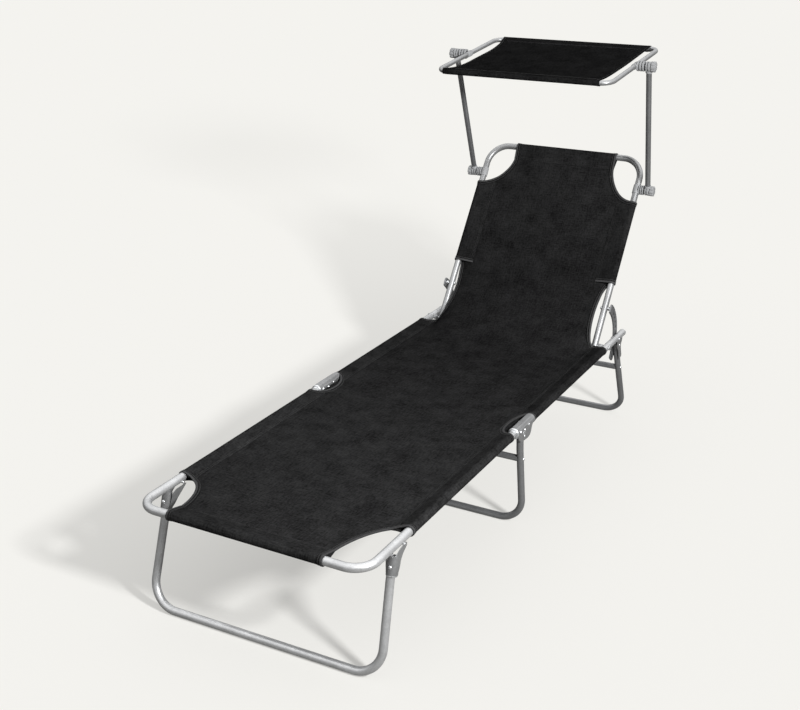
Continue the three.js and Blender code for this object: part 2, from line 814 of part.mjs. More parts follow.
function canopyCloth() {
  const half = canopyDepth / 2;
  const edge = Array.from({ length: cutSteps + 1 }, (_, i) => {
    const share = (2 * i) / cutSteps - 1;
    return [canopySleeveHalf - canopyEdgeDip * (1 - share * share), half * share];
  });
  const flat = geometryOf(sheet(symmetric(edge), thinR + gap, thinR + gap + clothThick));
  flat.rotateX(canopyTilt);
  const inner = clearing(thinR);
  const sleeves = [-half, half].map((run) => pipe([
    at(-canopySleeveHalf, ...onCanopy(run)),
    at(canopySleeveHalf, ...onCanopy(run)),
  ], inner + clothThick, inner));
  return sleeves.reduce((a, b) => a.add(b), solid(flat.translate(0, canopyY, canopyZ)));
}

// The arms run from the clamps on the backrest to the clamps on the canopy frame
const armLow = at(armLowX, clampY, clampZ);
const armHigh = at(armHighX, canopyY, canopyZ);
const armWay = armHigh.clone().sub(armLow).normalize();

function arm() {
  const ends = [
    armLow.clone().addScaledVector(armWay, armStop),
    armHigh.clone().addScaledVector(armWay, -armStop),
  ];
  return hollow(ends, thinR);
}

// A round fitting on an arm's end, bored for the arm and for the knob's stud
function fitting(centre, way) {
  const x0 = centre.x - fittingIn;
  const x1 = centre.x + fittingOut;
  const socket = [
    centre.clone().addScaledVector(way, armStop - gap),
    centre.clone().addScaledVector(way, fittingR + overrun),
  ];
  return crossPin(fittingR, x0, x1, centre.y, centre.z, fittingSides)
    .subtract(bar(socket, clearing(thinR)))
    .subtract(crossHole(studR, centre.y, centre.z, x0, x1));
}

// A clamp: a collar round a tube, and a boss and toothed flange facing the fitting
function clamp(centre, tubeX, radius, alongY, alongZ, length) {
  const middle = at(tubeX, centre.y, centre.z);
  const way = at(0, alongY, alongZ);
  const ends = [
    middle.clone().addScaledVector(way, -length / 2),
    middle.clone().addScaledVector(way, length / 2),
  ];
  const face = centre.x - fittingIn - gap;
  const outer = clearing(radius) + collarWall;
  return bar(ends, outer)
    .add(crossPin(bossR, tubeX, face, centre.y, centre.z, fittingSides))
    .add(crossPin(flangeR, face - flangeThick, face, centre.y, centre.z, fittingSides))
    .subtract(bar(lengthened(ends, overrun), clearing(radius)))
    .subtract(crossPin(
      clearing(studR), tubeX + radius + studClear, face + overrun, centre.y, centre.z,
    ));
}

// A lobed knob with its stud, which passes through the fitting into the clamp
function knob(centre, tubeX, radius) {
  const start = centre.x + fittingOut + gap;
  const outline = Array.from({ length: knobSteps }, (_, i) => {
    const angle = (2 * Math.PI * i) / knobSteps;
    const reach = knobR + knobLobe * Math.cos(knobLobes * angle);
    return [centre.y + reach * Math.cos(angle), centre.z + reach * Math.sin(angle)];
  });
  return plate(outline, start, start + knobThick)
    .add(crossPin(
      studR, tubeX + radius + studClear + gap, start + knobThick / 2, centre.y, centre.z,
    ));
}

addPair('seat_rail', seatRail(), steel);
addPair('rail_cap', railCap(), plugGrey);
addPair('hinge_bracket', hingeBracket(), steel);
addPair(
  'bracket_rivet',
  headedPin(rivetR, rivetHeadR, rivetHead, bracketOut + gap, hingeY + bracketRivetRun, railZ),
  zinc,
);
addPair('hinge_pin', headedPin(pinR, pinHeadR, pinHead, bracketOut + gap, hingeY, pinZ), zinc);
addPair('rear_bracket', rearBracket(), steel);
addPair(
  'rear_bracket_rivet',
  headedPin(rivetR, rivetHeadR, rivetHead, earOut + gap, rearPinY - rearRivetRun, railZ),
  zinc,
);
addPair('rear_leg_pin', headedPin(pinR, pinHeadR, pinHead, earOut + gap, rearPinY, pinZ), zinc);
addPair('stop_pin', stopPin(), zinc);
addPair('back_bolt', backBolt(), zinc);
add('seat_cloth', seatCloth(), sling);

add('foot_frame_tube', footTube(), steel);
addPair('hinge_liner', hingeLiner(), zinc);
addPair(
  'liner_rivet',
  crossPin(rivetR, railX - linerIn - gap, railX + linerIn + gap, hingeY - linerRivetBack, railZ),
  zinc,
);
addPair('front_leg_pin', headedPin(pinR, pinHeadR, pinHead, earOut + gap, frontPivotY, railZ), zinc);
add('foot_cloth', footCloth(), sling);

add('front_leg_tube', frontLeg(), steel);
addPair('front_leg_channel', frontChannel(), steel);
add('middle_leg_tube', pinnedLeg(middleKnots, hingeY), steel);
add('middle_cross_tube', crossTube(middleKnots, hingeY + middleFloorRun, hingeY, middleCrossZ), steel);
add('rear_leg_tube', pinnedLeg(rearKnots, rearPinY), steel);
add('rear_cross_tube', crossTube(rearKnots, rearFloorY, rearPinY, rearCrossZ), steel);

add('backrest_tube', backTube(), steel);
add('back_cloth', backCloth(), sling);
addPair('strut', strut(), steel);
addPair('strut_bolt', strutBolt(), zinc);

const backWay = [Math.cos(backAngle), Math.sin(backAngle)];
const canopyWay = [Math.cos(canopyTilt), Math.sin(canopyTilt)];
addPair('lower_clamp', clamp(armLow, backX, tubeR, ...backWay, lowCollarLength), moulding);
addPair('upper_clamp', clamp(armHigh, canopyX, thinR, ...canopyWay, highCollarLength), moulding);
addPair('lower_fitting', fitting(armLow, armWay), moulding);
addPair('upper_fitting', fitting(armHigh, armWay.clone().negate()), moulding);
addPair('lower_knob', knob(armLow, backX, tubeR), moulding);
addPair('upper_knob', knob(armHigh, canopyX, thinR), moulding);
addPair('canopy_arm', arm(), steel);
add('front_canopy_bow', bow(-1), steel);
add('back_canopy_bow', bow(1), steel);
add('canopy_cloth', canopyCloth(), sling);

// The origin is on the floor, under the middle of the whole lounger
const extent = new THREE.Box3().setFromObject(bed);
bed.position.set(0, -(extent.min.y + extent.max.y) / 2, -extent.min.z);

export default lounger;
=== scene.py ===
"""Looks for a folding sun lounger with a canopy: round tubes, stretched cloth, fittings, studio."""

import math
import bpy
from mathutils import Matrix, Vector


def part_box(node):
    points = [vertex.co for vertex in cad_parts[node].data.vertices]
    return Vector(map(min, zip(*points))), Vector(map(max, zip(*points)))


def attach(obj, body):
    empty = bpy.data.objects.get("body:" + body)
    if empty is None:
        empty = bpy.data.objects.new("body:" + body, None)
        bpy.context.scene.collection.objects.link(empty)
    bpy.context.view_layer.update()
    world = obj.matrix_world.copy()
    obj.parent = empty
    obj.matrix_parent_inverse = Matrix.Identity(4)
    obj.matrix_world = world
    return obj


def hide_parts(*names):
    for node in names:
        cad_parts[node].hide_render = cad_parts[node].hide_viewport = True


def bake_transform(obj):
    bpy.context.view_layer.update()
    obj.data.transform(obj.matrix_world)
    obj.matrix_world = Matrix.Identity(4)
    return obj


bl_info = {
    "name": "Sun lounger looks",
    "version": (1, 0, 0),
    "blender": (4, 5, 0),
    "location": "View3D > Sidebar > Lounger",
    "description": "Dresses a folding sun lounger's frame with tubes, cloth, fittings and studio",
    "category": "Object",
}

import bmesh
import bpy
import numpy as np
from mathutils import Matrix

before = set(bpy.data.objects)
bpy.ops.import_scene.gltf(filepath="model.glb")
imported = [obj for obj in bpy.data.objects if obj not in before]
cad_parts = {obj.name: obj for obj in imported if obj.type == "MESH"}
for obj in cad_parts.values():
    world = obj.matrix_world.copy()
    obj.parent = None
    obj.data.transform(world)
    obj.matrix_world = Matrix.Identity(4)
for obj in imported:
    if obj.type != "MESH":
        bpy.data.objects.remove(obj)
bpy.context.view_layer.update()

# Lengths below are in millimetres, along the bed from the foot bar's centre, and this
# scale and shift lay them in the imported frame
MM = 0.001
BED_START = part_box("right_seat_rail")[0].y / MM - 730.3

RAIL_X = 272.5
RAIL_Z = 268.0
PIN_Z = 248.4
HINGE_Y = 730.0
RAIL_END = 1465.0
PIVOT_Y = 1328.0
BACK_X = 239.0
BACK_ANGLE = math.radians(53.75)
BACK_LENGTH = 565.4
STRUT_R = 111.0
CLAMP_RUN = 474.0
CANOPY = (1496.6, 1012.2)
CANOPY_TILT = math.radians(6.1)
CANOPY_X = 247.0
SEAT_SEAM = 33.0
FOOT_SEAM = 40.0
BACK_SEAM = 47.0
TOP_SEAM = 40.0
SHEET_SPLIT = 1050.0
FRONT_LEG_TOP = (277.0, 103.5, 252.0)
FRONT_FOOT = (283.0, 29.3)
LEG_STRAIGHT = 50
REAR_PIN_Y = 1410.0
REAR_FOOT_Y = 1499.5
CANOPY_HALF = 198.0
CANOPY_CORNER = 33
CLOTH_GAP = 0.3
BORE = 30.0
THREAD_PITCH = 0.0016


# ---------------------------------------------------------------- settings


def length_setting(name, description, default, low, high):
    """A length setting, given in millimetres."""
    return bpy.props.FloatProperty(
        name=name, description=description, default=default * MM, min=low * MM, max=high * MM,
        subtype="DISTANCE", unit="LENGTH")


def colour_setting(name, description, *default):
    """A colour setting, given as red, green and blue."""
    return bpy.props.FloatVectorProperty(
        name=name, description=description, default=default, subtype="COLOR", size=3,
        min=0.0, max=1.0)


class LoungerSizes(bpy.types.PropertyGroup):
    """Sizes that a user may change"""

    tube_radius: length_setting("Bed tube radius", "Outer radius of the bed tubes", 9.5, 5, 20)
    front_leg_radius: length_setting(
        "Front leg tube radius", "Outer radius of the front leg tube", 9.1, 5, 20)
    leg_radius: length_setting(
        "Leg tube radius", "Outer radius of the middle and rear leg tubes", 8.6, 5, 20)
    back_radius: length_setting(
        "Backrest tube radius", "Outer radius of the backrest tube", 8.9, 5, 20)
    arm_radius: length_setting("Canopy arm radius", "Outer radius of the canopy arms", 7.5, 3, 15)
    thin_radius: length_setting(
        "Canopy tube radius", "Outer radius of the canopy tubes", 6.5, 3, 15)
    cloth_thickness: length_setting("Cloth thickness", "Thickness of the woven cloth", 1.1, 0.3, 3)
    seat_sag: length_setting(
        "Seat sag", "How far the middle of the cloth hangs below its edges", 6.0, 0, 30)
    canopy_sag: length_setting(
        "Canopy sag", "How far the middle of the canopy cloth hangs", 12.0, 0, 30)
    stitch_pitch: length_setting("Stitch pitch", "Distance from one stitch to the next", 4.4, 2, 10)
    binding_width: length_setting(
        "Hem width", "Width of the bound hem round each cut-out", 12.0, 3, 20)


class LoungerColours(bpy.types.PropertyGroup):
    """Colours that a user may change"""

    steel: colour_setting("Tube coat", "Silver-grey coat of the tubes", 0.46, 0.465, 0.47)
    # Painted shade: a darker copy of the tube coat, standing for the shade and dark reflections on
    # the legs, struts and canopy arms
    shaded_leg_steel: colour_setting(
        "Leg coat", "Darker grey coat of the legs, struts and canopy arms", 0.2, 0.203, 0.207)
    zinc: colour_setting("Zinc", "Zinc plate of the rivets and studs", 0.60, 0.61, 0.62)
    plate: colour_setting("Plate", "Grey coat of the pressed brackets", 0.24, 0.243, 0.246)
    plastic: colour_setting("Moulding", "Grey plastic of the clamps and knobs", 0.30, 0.305, 0.31)
    cloth: colour_setting("Cloth", "Near-black woven cloth", 0.022, 0.022, 0.0223)
    floor: colour_setting("Floor", "Plain pale floor", 0.882, 0.873, 0.84)


class LoungerStudio(bpy.types.PropertyGroup):
    """Light that a user may change"""

    world_strength: bpy.props.FloatProperty(
        name="Room light", description="Strength of the even room light",
        default=0.3, min=0.0, max=3.0)
    key_power: bpy.props.FloatProperty(
        name="Key lamp", description="Power of the soft lamp beside the camera",
        default=41.0, min=0.0, max=1000.0, unit="POWER")
    key_size: bpy.props.FloatProperty(
        name="Key lamp size", description="Width of the soft lamp beside the camera",
        default=0.34, min=0.05, max=3.0, subtype="DISTANCE", unit="LENGTH")
    shadow_depth: bpy.props.FloatProperty(
        name="Shadow depth", default=0.42, min=0.0, max=1.0,
        description="Share of the floor's light that the object can take away")


def sizes():
    return bpy.context.scene.lounger_sizes


def mm(name):
    """A size of the settings, in millimetres."""
    return getattr(sizes(), name) / MM


# ---------------------------------------------------------------- surfaces


def unit(vectors):
    """Each vector over its own length."""
    return vectors / np.linalg.norm(vectors, axis=-1, keepdims=True)


def grid_faces(rows, cols, close_cols=False, close_rows=False):
    """Quads of a grid: each joins two neighbours of one row to the two beside them in the next."""
    r = np.arange(rows if close_rows else rows - 1)[:, None]
    c = np.arange(cols if close_cols else cols - 1)[None, :]
    r1, c1 = (r + 1) % rows, (c + 1) % cols
    corners = np.broadcast_arrays(r * cols + c, r * cols + c1, r1 * cols + c1, r1 * cols + c)
    return np.stack(corners, -1).reshape(-1, 4)


def surface(points, close_cols=False, close_rows=False, uv=None):
    """A grid of points (rows, columns, 3) as flat points, quads and flow coordinates."""
    points = np.asarray(points, float)
    rows, cols = points.shape[:2]
    faces = grid_faces(rows, cols, close_cols, close_rows)
    flow = None if uv is None else np.asarray(uv, float).reshape(-1, 2)
    return points.reshape(-1, 3), faces.tolist(), flow


def mirrored(part):
    """The same part on the other side of the middle: x changes sign and faces turn round."""
    points, faces, flow = part
    return points * (-1, 1, 1), [face[::-1] for face in faces], flow


def as_is(part):
    """The part on its own side."""
    return part


# Each side's name, the sign of its x, and the turn that brings a right part to it
SIDES = (("right", 1, as_is), ("left", -1, mirrored))


def stacked(*axes):
    """Points or flow coordinates from one array for each axis."""
    return np.stack(np.broadcast_arrays(*axes), -1)


def run_along(path):
    """Distance of each point of a path from its start."""
    return np.concatenate([[0], np.cumsum(np.linalg.norm(np.diff(path, axis=0), axis=1))])


def capped(rows):
    """Rows of a bar, closed on their centres at both ends."""
    caps = [np.broadcast_to(row.mean(0), row.shape)[None] for row in (rows[0], rows[-1])]
    return surface(np.concatenate([caps[0], rows, caps[1]]), close_cols=True)


def make(name, parts, material, body=None, stands_for=(), smooth=40.0):
    """One mesh of several parts, welded where they meet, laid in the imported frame."""
    points, faces, flows, start = [], [], [], 0
    for part_points, part_faces, flow in parts:
        points.append(part_points)
        faces += [[i + start for i in face] for face in part_faces]
        flows.append(np.zeros((len(part_points), 2)) if flow is None else flow)
        start += len(part_points)
    points = (np.concatenate(points) + (0, BED_START, 0)) * MM
    mesh = bpy.data.meshes.new(name)
    mesh.from_pydata(points.tolist(), [], faces)
    if any(part[2] is not None for part in parts):
        corners = np.zeros(len(mesh.loops), np.int32)
        mesh.loops.foreach_get("vertex_index", corners)
        layer = mesh.uv_layers.new(name="flow")
        flow = (np.concatenate(flows)[corners] * MM).astype(np.float32)
        layer.data.foreach_set("uv", flow.ravel())
    shell = bmesh.new()
    shell.from_mesh(mesh)
    bmesh.ops.remove_doubles(shell, verts=shell.verts, dist=2e-6)
    bmesh.ops.recalc_face_normals(shell, faces=shell.faces)
    shell.to_mesh(mesh)
    shell.free()
    mesh.polygons.foreach_set("use_smooth", np.ones(len(mesh.polygons), bool))
    mesh.set_sharp_from_angle(angle=math.radians(smooth))
    mesh.materials.append(material)
    piece = bpy.data.objects.new(name, mesh)
    bpy.context.scene.collection.objects.link(piece)
    if body:
        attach(piece, body)
    if stands_for:
        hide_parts(*stands_for)
    return piece


def thicken(piece, thickness, smooth=60.0):
    """Gives a sheet its wall, half to each side, as mesh with a crisp rim."""
    wall = piece.modifiers.new("wall", "SOLIDIFY")
    wall.thickness, wall.offset = thickness * MM, 0.0
    placed = piece.evaluated_get(bpy.context.evaluated_depsgraph_get())
    thin, thick = piece.data, bpy.data.meshes.new_from_object(placed)
    piece.modifiers.remove(wall)
    piece.data = thick
    thick.name = piece.name
    bpy.data.meshes.remove(thin)
    thick.set_sharp_from_angle(angle=math.radians(smooth))


def soften(piece, width=0.4, segments=2):
    """Rounds the sharp edges of a cut or pressed piece."""
    edge = piece.modifiers.new("edge", "BEVEL")
    edge.width, edge.segments = width * MM, segments
    edge.limit_method, edge.angle_limit = "ANGLE", math.radians(40)


def headings(path):
    """Unit heading at each point of a path: the sum of the unit chords before and after it."""
    chord = unit(np.diff(path, axis=0))
    return unit(np.vstack([chord[:1], chord[:-1] + chord[1:], chord[-1:]]))


def rounded(corners, radii, steps=12):
    """A path through corners, each inner one turned by an arc that touches both straights."""
    corners = np.asarray(corners, float)
    radii = np.broadcast_to(radii, len(corners) - 2)
    path = [corners[:1]]
    for before, corner, after, radius in zip(corners, corners[1:], corners[2:], radii):
        inward, outward = unit(corner - before), unit(after - corner)
        half = math.acos(np.clip(inward @ outward, -1, 1)) / 2
        centre = corner + unit(outward - inward) * radius / math.cos(half)
        u = corner - inward * radius * math.tan(half) - centre
        v = inward * radius
        turn = np.linspace(0, 2 * half, steps + 1)[:, None]
        path.append(centre + u * np.cos(turn) + v * np.sin(turn))
    return np.vstack([*path, corners[-1:]])


def rings(centres, along, radii, up, sides=32):
    """Rings of a round bar: centre + radius * (cos t * side + sin t * top)."""
    side = unit(np.cross(along, up))
    top = np.cross(side, along)
    t = np.linspace(0, 2 * math.pi, sides, endpoint=False)[None, :, None]
    spokes = np.cos(t) * side[:, None] + np.sin(t) * top[:, None]
    return centres[:, None] + np.asarray(radii)[:, None, None] * spokes


def tube(path, radius, up, ends=("open", "open"), wall=0.8, sides=32):
    """A round tube carried along a path. An open end turns in over its rim to a short bore,
    and a dome end closes as half a ball: radius * (1 - cos t) along, radius * sin t out."""
    path = np.asarray(path, float)
    along = headings(path)

    def end_rows(point, inward, kind):
        if kind == "dome":
            t = np.linspace(0, math.pi / 2, 8)[:-1]
            return point + inward * (radius * (1 - np.cos(t)))[:, None], radius * np.sin(t)
        depth = np.array([BORE, BORE, 0.0, 0.0, 0.25 * wall])
        reach = np.array([0.0, radius - wall, radius - wall, radius - 0.25 * wall, radius])
        return point + inward * depth[:, None], reach

    first, first_r = end_rows(path[0], along[0], ends[0])
    last, last_r = end_rows(path[-1], -along[-1], ends[1])
    trim0 = radius if ends[0] == "dome" else 0.5
    trim1 = radius if ends[1] == "dome" else 0.5
    middle = path.copy()
    middle[0] += along[0] * trim0
    middle[-1] -= along[-1] * trim1
    centres = np.vstack([first, middle, last[::-1]])
    heads = np.vstack([np.repeat(along[:1], len(first), 0), along,
                       np.repeat(along[-1:], len(last), 0)])
    radii = np.concatenate([first_r, np.full(len(path), radius), last_r[::-1]])
    return surface(rings(centres, heads, radii, up, sides), close_cols=True)


def turned(profile, centre, axis=(1, 0, 0), up=(0, 0, 1), sides=32, closed=False, lobes=None):
    """A profile of (along, radius) pairs turned about an axis: centre + along * axis +
    radius * (cos t * side + sin t * top). A closed profile makes a ring; lobes(t) scales radius."""
    along, radius = np.asarray(profile, float).T
    axis = unit(np.asarray(axis, float))
    side = unit(np.cross(axis, up))
    top = np.cross(side, axis)
    t = np.linspace(0, 2 * math.pi, sides, endpoint=False)
    spokes = np.cos(t)[:, None] * side + np.sin(t)[:, None] * top
    scale = np.ones_like(t) if lobes is None else lobes(t)
    points = (np.asarray(centre, float) + along[:, None, None] * axis
              + radius[:, None, None] * scale[None, :, None] * spokes[None])
    return surface(points, close_cols=True, close_rows=closed)


def carried(profile, path, inward, up):
    """A closed profile of (in, up) pairs carried along a path whose in and up directions are
    given at each point; its ends close on their centres."""
    profile = np.asarray(profile, float)
    return capped(path[:, None] + profile[None, :, :1] * inward[:, None]
                  + profile[None, :, 1:] * up[:, None])


def slab(outline, x0, x1):
    """An outline of (y, z) pairs drawn out from x0 to x1, with flat ends."""
    outline = np.asarray(outline, float)
    n = len(outline)
    points = np.vstack([np.column_stack([np.full(n, x), outline]) for x in (x0, x1)])
    ends = [list(range(n))[::-1], list(range(n, 2 * n))]
    return points, grid_faces(2, n, close_cols=True).tolist() + ends, None


def arc(centre, radius, start, stop, steps=10):
    """Points centre + radius * (cos a, sin a) from one angle to another, in degrees."""
    a = np.radians(np.linspace(start, stop, steps + 1))
    return np.column_stack([centre[0] + radius * np.cos(a), centre[1] + radius * np.sin(a)])


def on_back(run, off=0.0):
    """(y, z) of a place on the backrest, by its run from the pivot and height off the tubes."""
    c, s = math.cos(BACK_ANGLE), math.sin(BACK_ANGLE)
    return PIVOT_Y + run * c - off * s, RAIL_Z + run * s + off * c


def on_canopy(run, up=0.0):
    """(y, z) of a place on the canopy, by its run from the middle and height off the tubes."""
    c, s = math.cos(CANOPY_TILT), math.sin(CANOPY_TILT)
    return CANOPY[0] + run * c - up * s, CANOPY[1] + run * s + up * c


# Headings along the backrest and the canopy, and off them, and the right arm's two ends
BACK_WAY, CANOPY_WAY = (np.array([0, math.cos(a), math.sin(a)]) for a in (BACK_ANGLE, CANOPY_TILT))
BACK_UP, CANOPY_UP = (np.array([0, -way[2], way[1]]) for way in (BACK_WAY, CANOPY_WAY))
ARM_ENDS = (np.array([272.0, *on_back(CLAMP_RUN)]), np.array([284.0, *CANOPY]))


# ---------------------------------------------------------------- finishes


class Nodes:
    """A node tree, with a call that adds a node, sets it and joins or fills its inputs."""

    def __init__(self, owner):
        owner.use_nodes = True
        self.tree = owner.node_tree

    def node(self, kind, settings=(), **inputs):
        made = self.tree.nodes.new(kind)
        for key, value in dict(settings).items():
            setattr(made, key, value)
        for key, value in inputs.items():
            socket = made.inputs[int(key[1:]) if key[1:].isdigit() else key.replace("_", " ")]
            if isinstance(value, bpy.types.NodeSocket):
                self.tree.links.new(value, socket)
            else:
                socket.default_value = value
        return made


class Finish(Nodes):
    """A node material: the principled shader and short calls for its usual nodes."""

    def __init__(self, name):
        self.material = bpy.data.materials.new(name)
        super().__init__(self.material)
        self.shader = self.tree.nodes["Principled BSDF"]

    def place(self):
        return self.node("ShaderNodeTexCoord").outputs["Object"]

    def maths(self, operation, a, b=0.0):
        return self.node("ShaderNodeMath", {"operation": operation}, _0=a, _1=b).outputs[0]

    def noise(self, where, scale, detail=3.0, roughness=0.55):
        return self.node("ShaderNodeTexNoise", Vector=where, Scale=scale, Detail=detail,
                         Roughness=roughness).outputs["Fac"]

    def stretched(self, where, scale):
        return self.node("ShaderNodeMapping", Vector=where, Scale=scale).outputs[0]

    def ramp(self, value, low, high, dark, light):
        made = self.node("ShaderNodeValToRGB", Fac=value)
        first, last = made.color_ramp.elements
        first.position, last.position = low, high
        first.color, last.color = (*dark, 1.0), (*light, 1.0)
        return made.outputs["Color"]

    def span(self, value, low, high, out_low, out_high):
        return self.node("ShaderNodeMapRange", Value=value, From_Min=low, From_Max=high,
                         To_Min=out_low, To_Max=out_high).outputs[0]

    def join(self, output, socket):
        self.tree.links.new(output, self.shader.inputs[socket])

    def bump(self, height, strength, distance):
        made = self.node("ShaderNodeBump", Height=height, Strength=strength, Distance=distance)
        self.join(made.outputs[0], "Normal")

    def tint(self, value, colour, dark, light, low=0.3, high=0.7):
        """Base colour between two shares of a colour."""
        tone = self.ramp(value, low, high, shade(colour, dark), shade(colour, light))
        self.join(tone, "Base Color")

    def roughen(self, value, smooth, rough, high=0.7):
        self.join(self.span(value, 0.3, high, smooth, rough), "Roughness")

    def shares(self, value, colour, marks):
        """Shares of a colour at places from 0 to 1 along a value."""
        made = self.node("ShaderNodeValToRGB", Fac=value)
        elements = made.color_ramp.elements
        for i, (place, share) in enumerate(marks):
            mark = elements[i] if i < 2 else elements.new(place)
            mark.position, mark.color = place, (*shade(colour, share), 1.0)
        return made.outputs["Color"]

    def tint_with_both(self, one, other):
        """Base colour as the product of two colours."""
        kinds = {"data_type": "RGBA", "blend_type": "MULTIPLY"}
        product = self.node("ShaderNodeMix", kinds, _0=1.0, _6=one, _7=other)
        self.join(product.outputs[2], "Base Color")

    def cloth_flow(self):
        """The cloth's own flow, and its two axes: across and along."""
        flow = self.node("ShaderNodeUVMap", {"uv_map": "flow"}).outputs[0]
        axes = self.node("ShaderNodeSeparateXYZ", Vector=flow).outputs
        return flow, axes[0], axes[1]


def shade(colour, factor):
    return tuple(min(1.0, c * factor) for c in colour)


def coated_steel(colour, name="coated_steel"):
    """Silver-grey coat: a fine orange-peel skin, faint streaks, small rubbed marks, dull spots."""
    f = Finish(name)
    where = f.place()
    spots = f.span(f.noise(where, 210.0, 3.0, 0.7), 0.3, 0.7, -0.12, 0.12)
    f.tint(f.maths("ADD", f.noise(where, 14.0, 4.0), spots), colour, 0.82, 1.12)
    streak = f.noise(f.stretched(where, (260.0, 18.0, 260.0)), 1.0, 3.0)
    f.roughen(streak, 0.34, 0.48, 0.75)
    f.shader.inputs["Metallic"].default_value = 0.6
    f.bump(f.noise(where, 900.0, 2.0), 0.15, 0.0004)
    return f.material


def zinc_plate(colour):
    """Zinc: small dull and bright crystals with a brushed roughness."""
    f = Finish("zinc_plate")
    where = f.place()
    cells = f.node("ShaderNodeTexVoronoi", Vector=where, Scale=420.0).outputs["Color"]
    grey = f.node("ShaderNodeSeparateColor", Color=cells).outputs[0]
    f.tint(grey, colour, 0.86, 1.1, 0.0, 1.0)
    f.roughen(f.noise(where, 160.0), 0.22, 0.4)
    f.shader.inputs["Metallic"].default_value = 0.9
    f.bump(f.noise(where, 1300.0), 0.1, 0.0002)
    return f.material


def moulded_plastic(colour, name="moulded_plastic"):
    """Grey moulding: a sandy skin with slight clouding from the mould."""
    f = Finish(name)
    where = f.place()
    f.tint(f.noise(where, 45.0, 4.0), colour, 0.9, 1.08)
    f.roughen(f.noise(where, 700.0), 0.42, 0.6)
    f.bump(f.noise(where, 1500.0, 2.0), 0.2, 0.0003)
    return f.material


def woven_cloth(colour, name, stops):
    """Plain weave on the cloth's own flow: warp times weft ripples, slubs, soft clouding, and
    painted
    light: the black is darkened along the length as the stops of (metres, share of the colour) say."""
    f = Finish(name)
    flow, across, along = f.cloth_flow()
    warp, weft = (f.maths("SINE", f.maths("MULTIPLY", axis, 2 * math.pi / THREAD_PITCH))
                  for axis in (across, along))
    weave = f.maths("MULTIPLY", warp, weft)
    slubs = [f.noise(f.stretched(flow, (a, b, 1.0)), 1.0, 4.0, 0.65)
             for a, b in ((35.0, 330.0), (330.0, 35.0))]
    slub = f.maths("ADD", *slubs)
    grain = f.noise(flow, 190.0, 4.0, 0.75)
    cloud = f.noise(flow, 16.0, 5.0, 0.62)
    tone = f.span(slub, 0.8, 1.2, 0.0, 0.4)
    for value, low, high, dark, light in ((grain, 0.34, 0.66, 0.0, 0.42),
                                          (cloud, 0.32, 0.68, -0.08, 0.26),
                                          (weave, -1.0, 1.0, -0.1, 0.1)):
        tone = f.maths("ADD", tone, f.span(value, low, high, dark, light))
    mottle = f.ramp(tone, 0.0, 1.0, (0.1,) * 3, (1.95,) * 3)
    start, reach = stops[0][0], stops[-1][0] - stops[0][0]
    # painted light: the cloth's black darkened along its length where the lamp's light falls off
    wear_and_light_fade = f.shares(f.span(along, start, start + reach, 0.0, 1.0), colour,
                    [((where - start) / reach, share) for where, share in stops])
    f.tint_with_both(wear_and_light_fade, mottle)
    f.roughen(grain, 0.75, 0.92)
    f.shader.inputs["Specular IOR Level"].default_value = 0.0
    f.bump(f.maths("ADD", f.maths("MULTIPLY", weave, 0.5), slub), 0.5, 0.0004)
    return f.material


def sewn_binding(colour):
    """Bound hem on its own flow: a painted highlight along its rim, and dark lines of painted
    shadow where two rows of stitches pull it in."""
    f = Finish("sewn_binding")
    flow, across, _along = f.cloth_flow()
    # painted highlight on the rim and painted shadow in the stitch grooves
    lines = f.shares(f.span(across, -0.001, 0.012, 0.0, 1.0), colour, HEM_LIGHT_AND_SHADE)
    wear_and_light_fade = f.ramp(f.noise(flow, 260.0, 4.0, 0.7), 0.3, 0.7, (0.6,) * 3, (1.4,) * 3)
    f.tint_with_both(lines, wear_and_light_fade)
    f.roughen(f.noise(flow, 400.0), 0.65, 0.85)
    f.shader.inputs["Specular IOR Level"].default_value = 0.05
    f.bump(f.noise(flow, 700.0, 2.0), 0.3, 0.0003)
    return f.material


def sewing_thread(colour):
    """Black thread, darkened below the cloth's own black as painted shade in the stitch grooves,
    with a slight twist along its length and a soft gloss.
    """
    f = Finish("sewing_thread")
    twist = f.noise(f.place(), 1200.0, 2.0)
    f.tint(twist, colour, 0.5, 1.3)
    f.roughen(twist, 0.6, 0.8)
    f.bump(twist, 0.2, 0.0002)
    return f.material


# Shares of the cloth's colour, painted light and shade: by metres from the foot bar (the lamp's
# fall-off painted along the bed), by metres from the canopy's middle (the canopy painted in shade),
# and across a hem from its rim to its inner edge (a painted highlight and painted shadow lines)
BED_PAINTED_LIGHT = ((0.0, 1.0), (0.5, 0.97), (0.75, 0.84), (1.05, 0.73), (1.3, 0.62), (1.5, 0.58),
            (1.85, 0.73))
ROOF_PAINTED_SHADE = ((-0.3, 0.54), (0.3, 0.54))
HEM_LIGHT_AND_SHADE = ((0.0, 1.0), (0.08, 2.6), (0.42, 2.0), (0.48, 0.01), (0.67, 0.01), (0.71, 1.9),
              (0.79, 1.8), (0.83, 0.01), (0.96, 0.01))

# Finishes made so far, by name
finishes = {}


